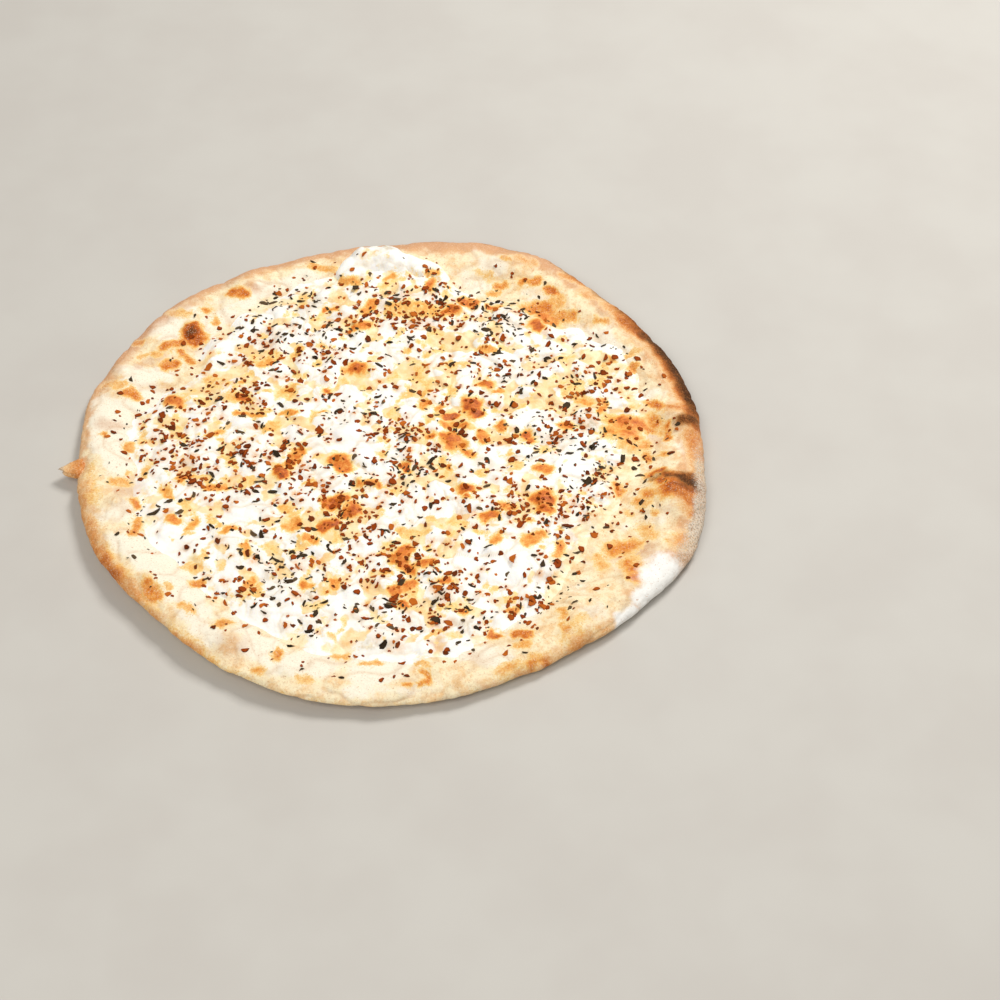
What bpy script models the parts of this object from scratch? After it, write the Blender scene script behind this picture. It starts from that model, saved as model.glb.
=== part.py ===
"""A cheese flatbread, in metres with +Z up.

A thin hand-stretched round of baked dough with a puffed rim carries a lumpy sheet of melted white cheese.
Chilli flakes and dark dried herbs are baked on, fused to whatever they lie on. The origin is the middle of
the flat underside, +X points to the right edge and +Y to the back edge, seen from where it is served.
"""
import math
import random

import bmesh
import bpy
import numpy as np
from mathutils import Matrix, Vector
from mathutils.bvhtree import BVHTree

MM = 0.001

# Driving sizes of the dough
BREAD_RADIUS = 139.5 * MM
DOUGH_THICKNESS = 5.0 * MM
RIM_HEIGHT = 8.6 * MM
RIM_FOOT = 0.79
RIM_CREST = 0.925
NOSE_LEVEL = 0.45
UNDERSIDE_SHARE = 0.945
UNDERSIDE_FLAT = 0.84

# Bulges round the edge as (angle in degrees, spread in degrees, height in metres)
EDGE_BULGES = (
    (23, 21, 3.1 * MM),
    (68, 19, 8.9 * MM),
    (102, 13, 1.6 * MM),
    (136, 18, 6.1 * MM),
    (168, 16, 5.1 * MM),
    (177, 10, -2.1 * MM),
    (224, 13, -3.3 * MM),
    (260, 13, 1.7 * MM),
    (300, 14, -2.5 * MM),
    (338, 14, 5.6 * MM),
)
RIM_BULGES = (
    (55, 30, 1.4 * MM),
    (95, 18, -0.9 * MM),
    (150, 26, -1.0 * MM),
    (215, 34, 3.2 * MM),
    (272, 20, -0.8 * MM),
    (345, 30, 2.0 * MM),
)
# The front and left of the baked rim stand clear of what the bread lies on
LIFT_BULGES = (
    (60, 25, 1.0 * MM),
    (150, 20, 1.2 * MM),
    (238, 40, 4.2 * MM),
)

# Bubbles baked into the dough as (x, y, radius, height)
DOUGH_BUBBLES = (
    (121 * MM, -29 * MM, 19 * MM, 4.2 * MM),
    (131 * MM, 18 * MM, 13 * MM, 2.0 * MM),
    (-96 * MM, 80 * MM, 6.5 * MM, 2.6 * MM),
    (-63 * MM, -105 * MM, 12 * MM, 1.8 * MM),
    (20 * MM, -121 * MM, 7 * MM, 1.7 * MM),
    (-117 * MM, -30 * MM, 10 * MM, 1.6 * MM),
    (75 * MM, -93 * MM, 15 * MM, 1.8 * MM),
    (52 * MM, 124 * MM, 12 * MM, 1.6 * MM),
)
RIM_RIPPLE = 0.55 * MM
RIM_RIPPLE_TURNS = (19, 31)

# The melted cheese: its edge, its film and the curds standing in it
CHEESE_REACH = 118 * MM
CHEESE_EDGE_BULGES = (
    (24, 18, 9.5 * MM),
    (67, 11, -4.0 * MM),
    (83, 6, 7.5 * MM),
    (95, 9, 18 * MM),
    (112, 9, 6 * MM),
    (130, 8, 2.5 * MM),
    (152, 9, -8 * MM),
    (174, 9, 6 * MM),
    (205, 8, 2.5 * MM),
    (224, 14, -5.5 * MM),
    (277, 17, 6 * MM),
    (332, 23, -12.5 * MM),
)
CHEESE_EDGE_WAVES = ((13, 0.9 * MM), (22, 1.1 * MM), (37, 0.8 * MM))
CHEESE_FILM = 1.2 * MM
CHEESE_EDGE_THICKNESS = 0.55 * MM
CURDS = 230
CURD_RADII = (5.5 * MM, 10.5 * MM)
CURD_HEIGHTS = (0.9 * MM, 2.1 * MM)
# Big spoonfuls of cheese that ran up on the back rim, as (x, y, radius, height)
RIM_CURDS = (
    (-14 * MM, 130 * MM, 10 * MM, 6.0 * MM),
    (-8.5 * MM, 130 * MM, 9.5 * MM, 5.9 * MM),
    (-22 * MM, 121 * MM, 9 * MM, 3.2 * MM),
    (-2 * MM, 126 * MM, 7.5 * MM, 3.0 * MM),
    (12 * MM, 126 * MM, 9 * MM, 3.4 * MM),
    (23 * MM, 123 * MM, 8 * MM, 2.6 * MM),
)

# Clearance kept between the two solids where they touch, and how deep the cheese's blank starts in the dough
TOUCH_GAP = 0.35 * MM
CHEESE_ROOT = 1.5 * MM
BLANK_HEIGHT = 1.0 * MM

# Toppings as (how many, length range, width share, thickness)
CHILLI_FLAKES = 95
CHILLI_LENGTHS = (2.8 * MM, 4.8 * MM)
HERB_FLAKES = 70
HERB_LENGTHS = (3.6 * MM, 6.4 * MM)
CRUST_CHILLI_FLAKES = 5
CRUST_HERB_FLAKES = 7
FLAKE_THICKNESS = 1.3 * MM
FLAKE_RAISE = 0.12 * MM
TOPPING_MARGIN = 5 * MM
GOLDEN_ANGLE = math.pi * (3 - math.sqrt(5))

# A tag of dough torn out at the left edge
TAG_CENTRE = (-141.5 * MM, -9.5 * MM, 5.6 * MM)
TAG_SIZE = (6.0 * MM, 4.6 * MM, 1.9 * MM)

# Mesh fineness
DOUGH_SPOKES = 180
RIM_RINGS = 8
CHEESE_SPOKES = 220
CHEESE_RINGS = 34
CHEESE_TRIANGLES = 3400
BREAD_TRIANGLES = 2700


def bulges_at(angle, bulges):
    """The sum of rounded bulges round the edge, at these angles in radians."""
    total = np.zeros_like(angle)
    for centre, spread, height in bulges:
        away = (np.degrees(angle) - centre + 180) % 360 - 180
        total += height * np.exp(-((away / spread) ** 2))
    return total


def smooth_step(low, high, value):
    """0 below low, 1 above high, and an even S-curve between them."""
    share = np.clip((value - low) / (high - low), 0, 1)
    return share * share * (3 - 2 * share)


def dome(distance):
    """A rounded bump, 1 at the middle and 0 from distance 1 on."""
    return np.clip(1 - distance**2, 0, 1) ** 1.5


def domes_at(x, y, domes):
    """The tallest of these domes, each (x, y, radius, height), over the given places."""
    height = np.zeros_like(x)
    for centre_x, centre_y, radius, top in domes:
        height = np.maximum(height, top * dome(np.hypot(x - centre_x, y - centre_y) / radius))
    return height


def edge_reach(angle):
    """How far the dough's edge lies from the middle."""
    return BREAD_RADIUS + bulges_at(angle, EDGE_BULGES)


def cheese_reach(angle):
    """How far the cheese runs out from the middle, with its ragged edge."""
    reach = CHEESE_REACH + bulges_at(angle, CHEESE_EDGE_BULGES)
    for turns, height in CHEESE_EDGE_WAVES:
        reach += height * np.sin(turns * angle + turns)
    return reach


def dough_crown(x, y):
    """Height of the dough before its edge is rounded: flat in the middle, rising to a puffed, rippled rim."""
    angle = np.arctan2(y, x)
    share = np.hypot(x, y) / edge_reach(angle)
    rim = smooth_step(RIM_FOOT, RIM_CREST, share)
    crest = RIM_HEIGHT + bulges_at(angle, RIM_BULGES)
    for turns in RIM_RIPPLE_TURNS:
        crest += RIM_RIPPLE * np.sin(turns * angle + turns * share)
    return DOUGH_THICKNESS + rim * (crest - DOUGH_THICKNESS) + domes_at(x, y, DOUGH_BUBBLES)


def dough_top(x, y):
    """Height of the dough's upper face, with the rounding of its edge."""
    share = np.hypot(x, y) / edge_reach(np.arctan2(y, x))
    past_crest = np.clip((share - RIM_CREST) / (1 - RIM_CREST), 0, 0.98)
    rounding = (1 - NOSE_LEVEL) * (1 - np.sqrt(1 - past_crest**2))
    return dough_crown(x, y) * (1 - rounding)


def dough_floor(x, y):
    """Height of the underside: flat in the middle, curling up a little at the rim."""
    angle = np.arctan2(y, x)
    share = np.hypot(x, y) / edge_reach(angle)
    return bulges_at(angle, LIFT_BULGES) * smooth_step(UNDERSIDE_FLAT, 1, share) ** 2


def golden_spiral(count, reach):
    """Evenly spread places inside a circle of this reach, as (x, y)."""
    places = []
    for k in range(count):
        radius = reach * math.sqrt((k + 0.5) / count)
        places.append((radius * math.cos(k * GOLDEN_ANGLE), radius * math.sin(k * GOLDEN_ANGLE)))
    return places


def curd_domes():
    """The curds of the cheese as domes, unevenly sized and nudged off an even spread."""
    rng = random.Random(11)
    domes = []
    for x, y in golden_spiral(CURDS, CHEESE_REACH):
        radius = rng.uniform(*CURD_RADII)
        height = rng.uniform(*CURD_HEIGHTS)
        nudge = 0.5 * radius
        domes.append((x + rng.uniform(-nudge, nudge), y + rng.uniform(-nudge, nudge), radius, height))
    return domes


def cheese_thickness(x, y, curds):
    """Depth of the cheese: a thin film with curds in it, thinning to its edge."""
    share = np.hypot(x, y) / cheese_reach(np.arctan2(y, x))
    inside = 1 - smooth_step(0.93, 1.0, share)
    body = CHEESE_FILM + domes_at(x, y, curds)
    spoonfuls = domes_at(x, y, RIM_CURDS) * (1 - smooth_step(0.97, 1.0, share))
    return CHEESE_EDGE_THICKNESS + inside * (body - CHEESE_EDGE_THICKNESS) + spoonfuls


def linked(name, mesh, collection):
    """A new object for a mesh, in this collection."""
    obj = bpy.data.objects.new(name, mesh)
    collection.objects.link(obj)
    return obj


def baked_mesh(obj, name):
    """The object's mesh as its modifiers leave it."""
    graph = bpy.context.evaluated_depsgraph_get()
    mesh = bpy.data.meshes.new_from_object(obj.evaluated_get(graph))
    mesh.name = name
    return mesh


def bake_modifiers(obj):
    """Applies every modifier of an object."""
    mesh = baked_mesh(obj, obj.name)
    obj.modifiers.clear()
    obj.data = mesh


def turned_blank(name, section, spokes, collection):
    """A disc turned about Z from a section that runs from the top's middle round to the underside's middle."""
    profile = bpy.data.meshes.new(name + "_section")
    edges = [(i, i + 1) for i in range(len(section) - 1)]
    profile.from_pydata([(radius, 0, height) for radius, height in section], edges, [])
    obj = linked(name, profile, collection)
    turn = obj.modifiers.new("turn", "SCREW")
    turn.steps = turn.render_steps = spokes
    turn.use_merge_vertices = True
    turn.merge_threshold = 0.00001
    bake_modifiers(obj)
    return obj


def move_vertices(obj, rule):
    """Sets each vertex by a rule that takes arrays of x, y and z and returns the new ones."""
    mesh = obj.data
    places = np.empty(len(mesh.vertices) * 3)
    mesh.vertices.foreach_get("co", places)
    moved = np.stack(rule(*places.reshape(-1, 3).T), axis=1)
    mesh.vertices.foreach_set("co", moved.ravel())
    mesh.update()


def thin_out(obj, triangles):
    """Leaves about this many triangles, more where the surface bends."""
    faces = sum(len(polygon.vertices) - 2 for polygon in obj.data.polygons)
    decimate = obj.modifiers.new("thin_out", "DECIMATE")
    decimate.ratio = min(1.0, triangles / faces)
    decimate.use_collapse_triangulate = True
    bake_modifiers(obj)


def dough_section():
    """The dough's blank, of even height: rings close together at the rim, then a rounded nose."""
    height = RIM_HEIGHT
    shares = [0, 0.4, 0.7] + [RIM_FOOT + (RIM_CREST - RIM_FOOT) * k / RIM_RINGS for k in range(RIM_RINGS + 1)]
    section = [(share * BREAD_RADIUS, height) for share in shares]
    for step in range(1, 6):
        turn = math.radians(18 * step)
        share = RIM_CREST + (1 - RIM_CREST) * math.sin(turn)
        section.append((share * BREAD_RADIUS, height * (NOSE_LEVEL + (1 - NOSE_LEVEL) * math.cos(turn))))
    for step in range(1, 5):
        turn = math.radians(22.5 * step)
        share = UNDERSIDE_SHARE + (1 - UNDERSIDE_SHARE) * math.cos(turn)
        section.append((share * BREAD_RADIUS, height * NOSE_LEVEL * (1 - math.sin(turn))))
    section += [(UNDERSIDE_FLAT * BREAD_RADIUS, 0), (0.45 * BREAD_RADIUS, 0), (0, 0)]
    return section


def shape_dough(x, y, z):
    """Pulls the turned blank out to the bread's own edge and raises its rim and bubbles."""
    angle = np.arctan2(y, x)
    stretch = edge_reach(angle) / BREAD_RADIUS
    x, y = x * stretch, y * stretch
    level = z / RIM_HEIGHT
    floor = dough_floor(x, y)
    return x, y, floor + level * (dough_crown(x, y) - floor)


def cheese_section():
    """The cheese's blank, of even height: closely ringed above, with a plain underside for the dough to cut."""
    above = [(k / CHEESE_RINGS * CHEESE_REACH, BLANK_HEIGHT) for k in range(CHEESE_RINGS + 1)]
    below = [(share * CHEESE_REACH, 0) for share in (1, 0.95, 0.9, 0.85, 0.8, 0.75, 0.5, 0)]
    return above + below


def cheese_shaper(curds):
    """The rule that lays the cheese's blank on the dough, out to its ragged edge."""

    def shape(x, y, z):
        angle = np.arctan2(y, x)
        stretch = cheese_reach(angle) / CHEESE_REACH
        x, y = x * stretch, y * stretch
        level = z / BLANK_HEIGHT
        sunk = dough_top(x, y) - CHEESE_ROOT
        return x, y, sunk + level * (CHEESE_ROOT + TOUCH_GAP + cheese_thickness(x, y, curds))

    return shape


def chip(name, size, squareness, rng, collection):
    """One flake: a small irregular chip of this length, width and thickness, lying at the origin."""
    mesh = bpy.data.meshes.new(name)
    shape = bmesh.new()
    if squareness:
        bmesh.ops.create_cube(shape, size=1)
    else:
        bmesh.ops.create_icosphere(shape, subdivisions=1, radius=0.5)
    for vertex in shape.verts:
        vertex.co = [part * rng.uniform(0.75, 1.2) for part in vertex.co]
        vertex.co = [part * length for part, length in zip(vertex.co, size)]
    bmesh.ops.triangulate(shape, faces=shape.faces)
    shape.to_mesh(mesh)
    shape.free()
    return linked(name, mesh, collection)


def scatter(kind, places, lengths, ground, squareness, collection):
    """Lays one flake at each place on the ground object, the longest first, half sunk and turned at random."""
    rng = random.Random(kind)
    tree = BVHTree.FromObject(ground, bpy.context.evaluated_depsgraph_get())
    for number, (x, y) in enumerate(places):
        share = number / max(1, len(places) - 1)
        length = lengths[1] + (lengths[0] - lengths[1]) * share
        width = length * (rng.uniform(0.24, 0.42) if squareness else rng.uniform(0.6, 0.85))
        flake = chip(f"{kind}_{number}", (length, width, FLAKE_THICKNESS), squareness, rng, collection)
        spot, normal, _, _ = tree.ray_cast(Vector((x, y, 1)), Vector((0, 0, -1)))
        turn = Matrix.Rotation(rng.uniform(0, math.pi), 4, "Z")
        lean = normal.to_track_quat("Z", "Y").to_matrix().to_4x4()
        flake.data.transform(Matrix.Translation(spot + normal * FLAKE_RAISE) @ lean @ turn)


def cheese_places(count, first):
    """Evenly spread places on the cheese, clear of its edge. first shifts them, so that kinds don't coincide."""
    places = []
    for x, y in golden_spiral(count, CHEESE_REACH - TOPPING_MARGIN):
        turned = complex(x, y) * complex(math.cos(first), math.sin(first))
        angle = np.array([math.atan2(turned.imag, turned.real)])
        if abs(turned) < float(cheese_reach(angle)[0]) - TOPPING_MARGIN:
            places.append((turned.real, turned.imag))
    random.Random(count).shuffle(places)
    return places


def crust_places(count, first):
    """Places on the bare crust, between the cheese and the crest of the rim."""
    places = []
    for k in range(count):
        angle = first + k * 2 * math.pi / count
        at = np.array([angle])
        inner = float(cheese_reach(at)[0]) + 5 * MM
        outer = float(edge_reach(at)[0]) - 6 * MM
        if outer > inner:
            radius = (inner + outer) / 2
            places.append((radius * math.cos(angle), radius * math.sin(angle)))
    return places


def cut_away(obj, cutter):
    """Cuts one object out of another, and removes the cutter."""
    cut = obj.modifiers.new("cut", "BOOLEAN")
    cut.operation = "DIFFERENCE"
    cut.object = cutter
    cut.solver = "EXACT"
    bake_modifiers(obj)
    bpy.data.objects.remove(cutter)


def join_all(obj, collection):
    """Fuses everything in a collection to the object, and removes the collection's objects."""
    join = obj.modifiers.new("join", "BOOLEAN")
    join.operation = "UNION"
    join.operand_type = "COLLECTION"
    join.collection = collection
    join.solver = "MANIFOLD"
    bake_modifiers(obj)
    for part in list(collection.objects):
        bpy.data.objects.remove(part)
    bpy.data.collections.remove(collection)


def baked_finish(name, colour, roughness):
    """A Principled material of one colour."""
    material = bpy.data.materials.new(name)
    material.use_nodes = True
    shader = material.node_tree.nodes["Principled BSDF"]
    shader.inputs["Base Color"].default_value = (*colour, 1)
    shader.inputs["Roughness"].default_value = roughness
    shader.inputs["Metallic"].default_value = 0
    return material


def new_collection(name):
    """A collection linked to the scene."""
    collection = bpy.data.collections.new(name)
    bpy.context.scene.collection.children.link(collection)
    return collection


def torn_tag(collection):
    """The little tag of dough at the left edge: a flattened ball that reaches into the rim."""
    mesh = bpy.data.meshes.new("torn_tag")
    shape = bmesh.new()
    bmesh.ops.create_icosphere(shape, subdivisions=2, radius=1)
    rng = random.Random("tag")
    for vertex in shape.verts:
        grow = rng.uniform(0.88, 1.12)
        vertex.co = [grow * part * half + centre for part, half, centre in zip(vertex.co, TAG_SIZE, TAG_CENTRE)]
    shape.to_mesh(mesh)
    shape.free()
    linked("torn_tag", mesh, collection)


def build_dough(collection):
    """The plain dough with its rim and bubbles."""
    dough = turned_blank("bread", dough_section(), DOUGH_SPOKES, collection)
    move_vertices(dough, shape_dough)
    thin_out(dough, BREAD_TRIANGLES)
    return dough


def finish_bread(bread):
    """Fuses the torn tag and the few flakes that lie on the bare crust."""
    extras = new_collection("crust_extras")
    torn_tag(extras)
    scatter("crust_chilli", crust_places(CRUST_CHILLI_FLAKES, 0.35), CHILLI_LENGTHS, bread, False, extras)
    scatter("crust_herb", crust_places(CRUST_HERB_FLAKES, 0.1), HERB_LENGTHS, bread, True, extras)
    join_all(bread, extras)
    bread.data.materials.append(baked_finish("baked_dough", (0.83, 0.58, 0.30), 0.75))


def build_cheese(dough, collection):
    """The melted cheese lying on the dough, with the flakes baked onto it."""
    cheese = turned_blank("cheese", cheese_section(), CHEESE_SPOKES, collection)
    move_vertices(cheese, cheese_shaper(curd_domes()))
    thin_out(cheese, CHEESE_TRIANGLES)
    raised = linked("raised_dough", dough.data.copy(), collection)
    raised.data.transform(Matrix.Translation((0, 0, TOUCH_GAP)))
    cut_away(cheese, raised)
    flakes = new_collection("cheese_flakes")
    scatter("chilli", cheese_places(CHILLI_FLAKES, 0.0), CHILLI_LENGTHS, cheese, False, flakes)
    scatter("herb", cheese_places(HERB_FLAKES, 1.0), HERB_LENGTHS, cheese, True, flakes)
    join_all(cheese, flakes)
    cheese.data.materials.append(baked_finish("melted_cheese", (0.93, 0.88, 0.74), 0.45))
    return cheese


def main():
    for old in list(bpy.data.objects):
        bpy.data.objects.remove(old)
    collection = new_collection("cheese_flatbread")
    bread = build_dough(collection)
    cheese = build_cheese(bread, collection)
    finish_bread(bread)
    for piece in (bread, cheese):
        piece.data.shade_smooth()
        piece.data.set_sharp_from_angle(angle=math.radians(45))


main()
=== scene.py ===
# %% [markdown]
# # A cheese flatbread with chilli flakes and dark herbs
#
# A thin round of dough was stretched by hand, covered with white cheese, strewn with flakes and baked hot.
# The solid model gives its true size and its broad shape. This lesson dresses it: a crust with a puffed and
# browned rim, a lumpy sheet of melted cheese, and the flakes baked onto both.
#
# First the solid model is loaded.

# %% Load the solid model
import math
import random

import bpy
import numpy as np
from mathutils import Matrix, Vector


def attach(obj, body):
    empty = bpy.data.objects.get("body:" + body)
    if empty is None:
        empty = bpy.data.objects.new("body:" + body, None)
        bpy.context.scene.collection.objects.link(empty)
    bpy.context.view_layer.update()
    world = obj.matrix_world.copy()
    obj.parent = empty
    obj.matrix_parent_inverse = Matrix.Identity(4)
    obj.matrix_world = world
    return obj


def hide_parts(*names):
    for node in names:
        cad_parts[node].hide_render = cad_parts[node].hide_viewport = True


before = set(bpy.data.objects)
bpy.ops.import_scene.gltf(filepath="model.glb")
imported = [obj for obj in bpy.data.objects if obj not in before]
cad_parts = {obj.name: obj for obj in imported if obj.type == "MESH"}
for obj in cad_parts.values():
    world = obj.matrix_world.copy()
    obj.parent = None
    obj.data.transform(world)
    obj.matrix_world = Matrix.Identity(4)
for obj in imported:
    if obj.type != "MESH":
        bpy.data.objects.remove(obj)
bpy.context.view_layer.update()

MM = 0.001
print("solids:", sorted(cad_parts))

# %% [markdown]
# ## The camera
#
# Food like this is usually shot from the seat at the table with a short telephoto lens. An 80 mm lens that
# looks 48 degrees down from 0.99 m away shows the round bread as the same oval as the photograph does.
# The lens points straight at a spot on the table to the right of the bread, so no shift is needed.

# %% Camera
LENS = 80.0
SENSOR = 36.0
LOOK_DOWN = math.radians(48)
CAMERA_DISTANCE = 0.99
AIM = Vector((49.1 * MM, -23.0 * MM, 0))
look = Vector((0, math.cos(LOOK_DOWN), -math.sin(LOOK_DOWN)))
camera_spot = AIM - look * CAMERA_DISTANCE


def placed(name, data):
    """An object with this data, put into the scene."""
    made = bpy.data.objects.new(name, data)
    bpy.context.scene.collection.objects.link(made)
    return made


camera = placed("camera", bpy.data.cameras.new("camera"))
camera.data.lens = LENS
camera.data.sensor_width = SENSOR
camera.location = camera_spot
camera.rotation_euler = look.to_track_quat("-Z", "Y").to_euler()
bpy.context.scene.camera = camera
print("camera stands at", [round(c, 3) for c in camera_spot])

# %% [markdown]
# ## The form of the dough
#
# The dough is a disc whose edge runs in and out by a few millimetres. Its broad form is the same as the
# solid's: a reach that depends on the angle, a flat middle, a puffed rim and some bubbles. All of these
# are plain functions of the place, written for whole numpy arrays at once.

# %% The dough's broad form
BREAD_RADIUS = 139.5 * MM
DOUGH_THICKNESS = 5.0 * MM
RIM_HEIGHT = 8.6 * MM
RIM_FOOT = 0.79
RIM_CREST = 0.925
NOSE_LEVEL = 0.45
UNDERSIDE_SHARE = 0.945
UNDERSIDE_FLAT = 0.84
ROUNDING_END = 0.98
# Bulges of the edge, of the rim's crest and of the curled-up underside: angle, spread and height in mm
EDGE_BULGES = (
    (23, 21, 3.1), (68, 19, 8.9), (102, 13, 1.6), (136, 18, 6.1), (168, 16, 5.1), (177, 10, -2.1),
    (224, 13, -3.3), (260, 13, 1.7), (300, 14, -2.5), (338, 14, 5.6),
)
RIM_BULGES = (
    (55, 30, 1.4), (95, 18, -0.9), (150, 26, -1.0), (215, 34, 3.2), (272, 20, -0.8), (345, 30, 2.0),
)
LIFT_BULGES = ((60, 25, 1.0), (150, 20, 1.2), (238, 40, 4.2))
# Bubbles: x and y of the middle, radius and height in mm
DOUGH_BUBBLES = (
    (121, -29, 19, 4.2), (131, 18, 13, 2.0), (-96, 80, 6.5, 2.6), (-63, -105, 12, 1.8), (20, -121, 7, 1.7),
    (-117, -30, 10, 1.6), (75, -93, 15, 1.8), (52, 124, 12, 1.6),
)
RIM_RIPPLE = 0.55 * MM
RIM_RIPPLE_TURNS = (19, 31)


def bulges_at(angle, bulges, unit=1.0):
    """Sum over the bulges of height in this unit * exp(-(degrees away / spread) squared)."""
    total = np.zeros_like(angle)
    for centre, spread, height in bulges:
        away = (np.degrees(angle) - centre + 180) % 360 - 180
        total += height * unit * np.exp(-((away / spread) ** 2))
    return total


def smooth_step(low, high, value):
    """0 below low, 1 above high, and 3 t^2 - 2 t^3 between them."""
    share = np.clip((value - low) / (high - low), 0, 1)
    return share * share * (3 - 2 * share)


def domes_at(x, y, domes, power=1.5):
    """The tallest dome at each place: height * (1 - (distance / radius)^2)^power."""
    height = np.zeros_like(x)
    for centre_x, centre_y, radius, top in domes:
        share = ((x - centre_x) ** 2 + (y - centre_y) ** 2) / radius**2
        height = np.maximum(height, top * np.clip(1 - share, 0, 1) ** power)
    return height


def edge_reach(angle):
    """How far the dough's edge lies from the middle: a circle and its bulges."""
    return BREAD_RADIUS + bulges_at(angle, EDGE_BULGES, MM)


def rim_share(x, y):
    """0 in the middle of the bread and 1 on its edge."""
    return np.hypot(x, y) / edge_reach(np.arctan2(y, x))


def dough_crown(x, y):
    """Height before the edge is rounded: flat, rising in an S-curve to the rippled crest, with bubbles."""
    angle = np.arctan2(y, x)
    share = rim_share(x, y)
    crest = RIM_HEIGHT + bulges_at(angle, RIM_BULGES, MM)
    for turns in RIM_RIPPLE_TURNS:
        crest += RIM_RIPPLE * np.sin(turns * angle + turns * share)
    rim = smooth_step(RIM_FOOT, RIM_CREST, share)
    bubbles = domes_at(x, y, np.array(DOUGH_BUBBLES) * MM)
    return DOUGH_THICKNESS + rim * (crest - DOUGH_THICKNESS) + bubbles


def dough_top(x, y):
    """Height of the upper face: the crown, times a quarter ellipse beyond the crest."""
    past_crest = np.clip((rim_share(x, y) - RIM_CREST) / (1 - RIM_CREST), 0, ROUNDING_END)
    return dough_crown(x, y) * (1 - (1 - NOSE_LEVEL) * (1 - np.sqrt(1 - past_crest**2)))


def dough_floor(x, y):
    """Height of the underside: flat, curling up towards the edge by the lift at that angle."""
    lift = bulges_at(np.arctan2(y, x), LIFT_BULGES, MM)
    return lift * smooth_step(UNDERSIDE_FLAT, 1, rim_share(x, y)) ** 2


front_left = np.radians([215.0])
print("the rim's front left reaches", round(float(edge_reach(front_left)[0] / MM), 1), "mm")

# %% [markdown]
# ## From a spot in the picture to a spot on the bread
#
# Toasted spots and drifts of flakes are easiest to name by where they are seen in the 1000 by 1000 picture.
# A line from the camera through such a spot meets the bread's top face at one place. Working that place out
# keeps every mark on the bread itself, so it is right from any side. The top isn't level, so the line is
# first met with a level plane, and then a few times more with a plane at the height found there.

# %% Picture spot to bread spot
PICTURE = 1000
FIRST_LEVEL = 7.5 * MM
LEAST_LEVEL = 6 * MM
MEETINGS = 4


def seen_at(across, down):
    """The place (x, y) on top seen at this spot: camera + t * ray, where z meets the dough's height."""
    focal = LENS / SENSOR * PICTURE
    upward = Vector((0, math.sin(LOOK_DOWN), math.cos(LOOK_DOWN)))
    ray = look + Vector((1, 0, 0)) * ((across - PICTURE / 2) / focal)
    ray += upward * ((PICTURE / 2 - down) / focal)
    level = FIRST_LEVEL
    for _ in range(MEETINGS):
        met = camera_spot + ray * ((level - camera_spot.z) / ray.z)
        level = max(float(dough_top(np.array([met.x]), np.array([met.y]))[0]), LEAST_LEVEL)
    return met.x, met.y


print("the right bubble lies at", [round(c / MM) for c in seen_at(668, 498)], "mm")

# %% [markdown]
# ## Unevenness
#
# Nothing baked is smooth. Gradient noise gives that unevenness in numpy: space is cut into cells, each corner
# gets a random direction, and a point blends the slopes of the eight corners round it. Layers of it at
# several sizes make the skin of the dough and the curds of the cheese.

# %% Gradient noise for whole arrays
SLOPES = 256
SEED_SHIFT = 31.7
LOUDNESS = 1.6
noise_rng = np.random.RandomState(5)
DIRECTIONS = noise_rng.normal(size=(SLOPES, 3))
DIRECTIONS /= np.linalg.norm(DIRECTIONS, axis=1)[:, None]
SHUFFLE = noise_rng.permutation(SLOPES)


def unevenness(x, y, z, size, seed):
    """Smooth noise from about -1 to 1 in cells of this size: slopes blended by 6 t^5 - 15 t^4 + 10 t^3."""
    place = np.stack([x, y, z], axis=-1) / size + SEED_SHIFT * seed
    cell = np.floor(place).astype(int)
    inside = place - cell
    fade = inside**3 * (inside * (inside * 6 - 15) + 10)
    total = np.zeros(place.shape[:-1])
    for corner in np.ndindex(2, 2, 2):
        picked = cell + corner
        turn = 0
        for axis in range(3):
            turn = SHUFFLE[(turn + picked[..., axis]) % SLOPES]
        slope = (DIRECTIONS[turn] * (inside - corner)).sum(-1)
        total += slope * np.prod(np.where(corner, fade, 1 - fade), axis=-1)
    return total * LOUDNESS


def thin_lines(x, y, z, size, seed, narrow):
    """1 where smooth noise crosses zero and 0 beside it: (1 - narrow * |noise|, not below 0) squared."""
    return (1 - np.minimum(np.abs(unevenness(x, y, z, size, seed)) * narrow, 1)) ** 2


def layered(x, y, size, seed, layers=3):
    """Flat noise plus finer, weaker noise: each layer has half the size and height of the last."""
    total = np.zeros_like(x)
    for layer in range(layers):
        total += unevenness(x, y, np.zeros_like(x), size / 2**layer, seed + layer) / 2**layer
    return total


def shaken(x, y, amount, size, seed):
    """The places moved by up to this amount in x and y, by noise of this cell size."""
    aside = amount * layered(x, y, size, seed, layers=2)
    return x + aside, y + amount * layered(x, y, size, seed + 7, layers=2)


print("noise made with", len(DIRECTIONS), "directions")

# %% [markdown]
# ## A brush for marks
#
# Oven marks have no outline that a formula could give, so they are painted. A stroke is a radius in mm, a
# strength, and the spots of the picture that it runs through. The mask is strong within the radius and falls
# off over an edge. The places are shaken by noise first, so that the marks come out ragged.

# %% The brush
HALO_WIDTH = 2.4 * MM
HALO_END = 2.2


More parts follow.
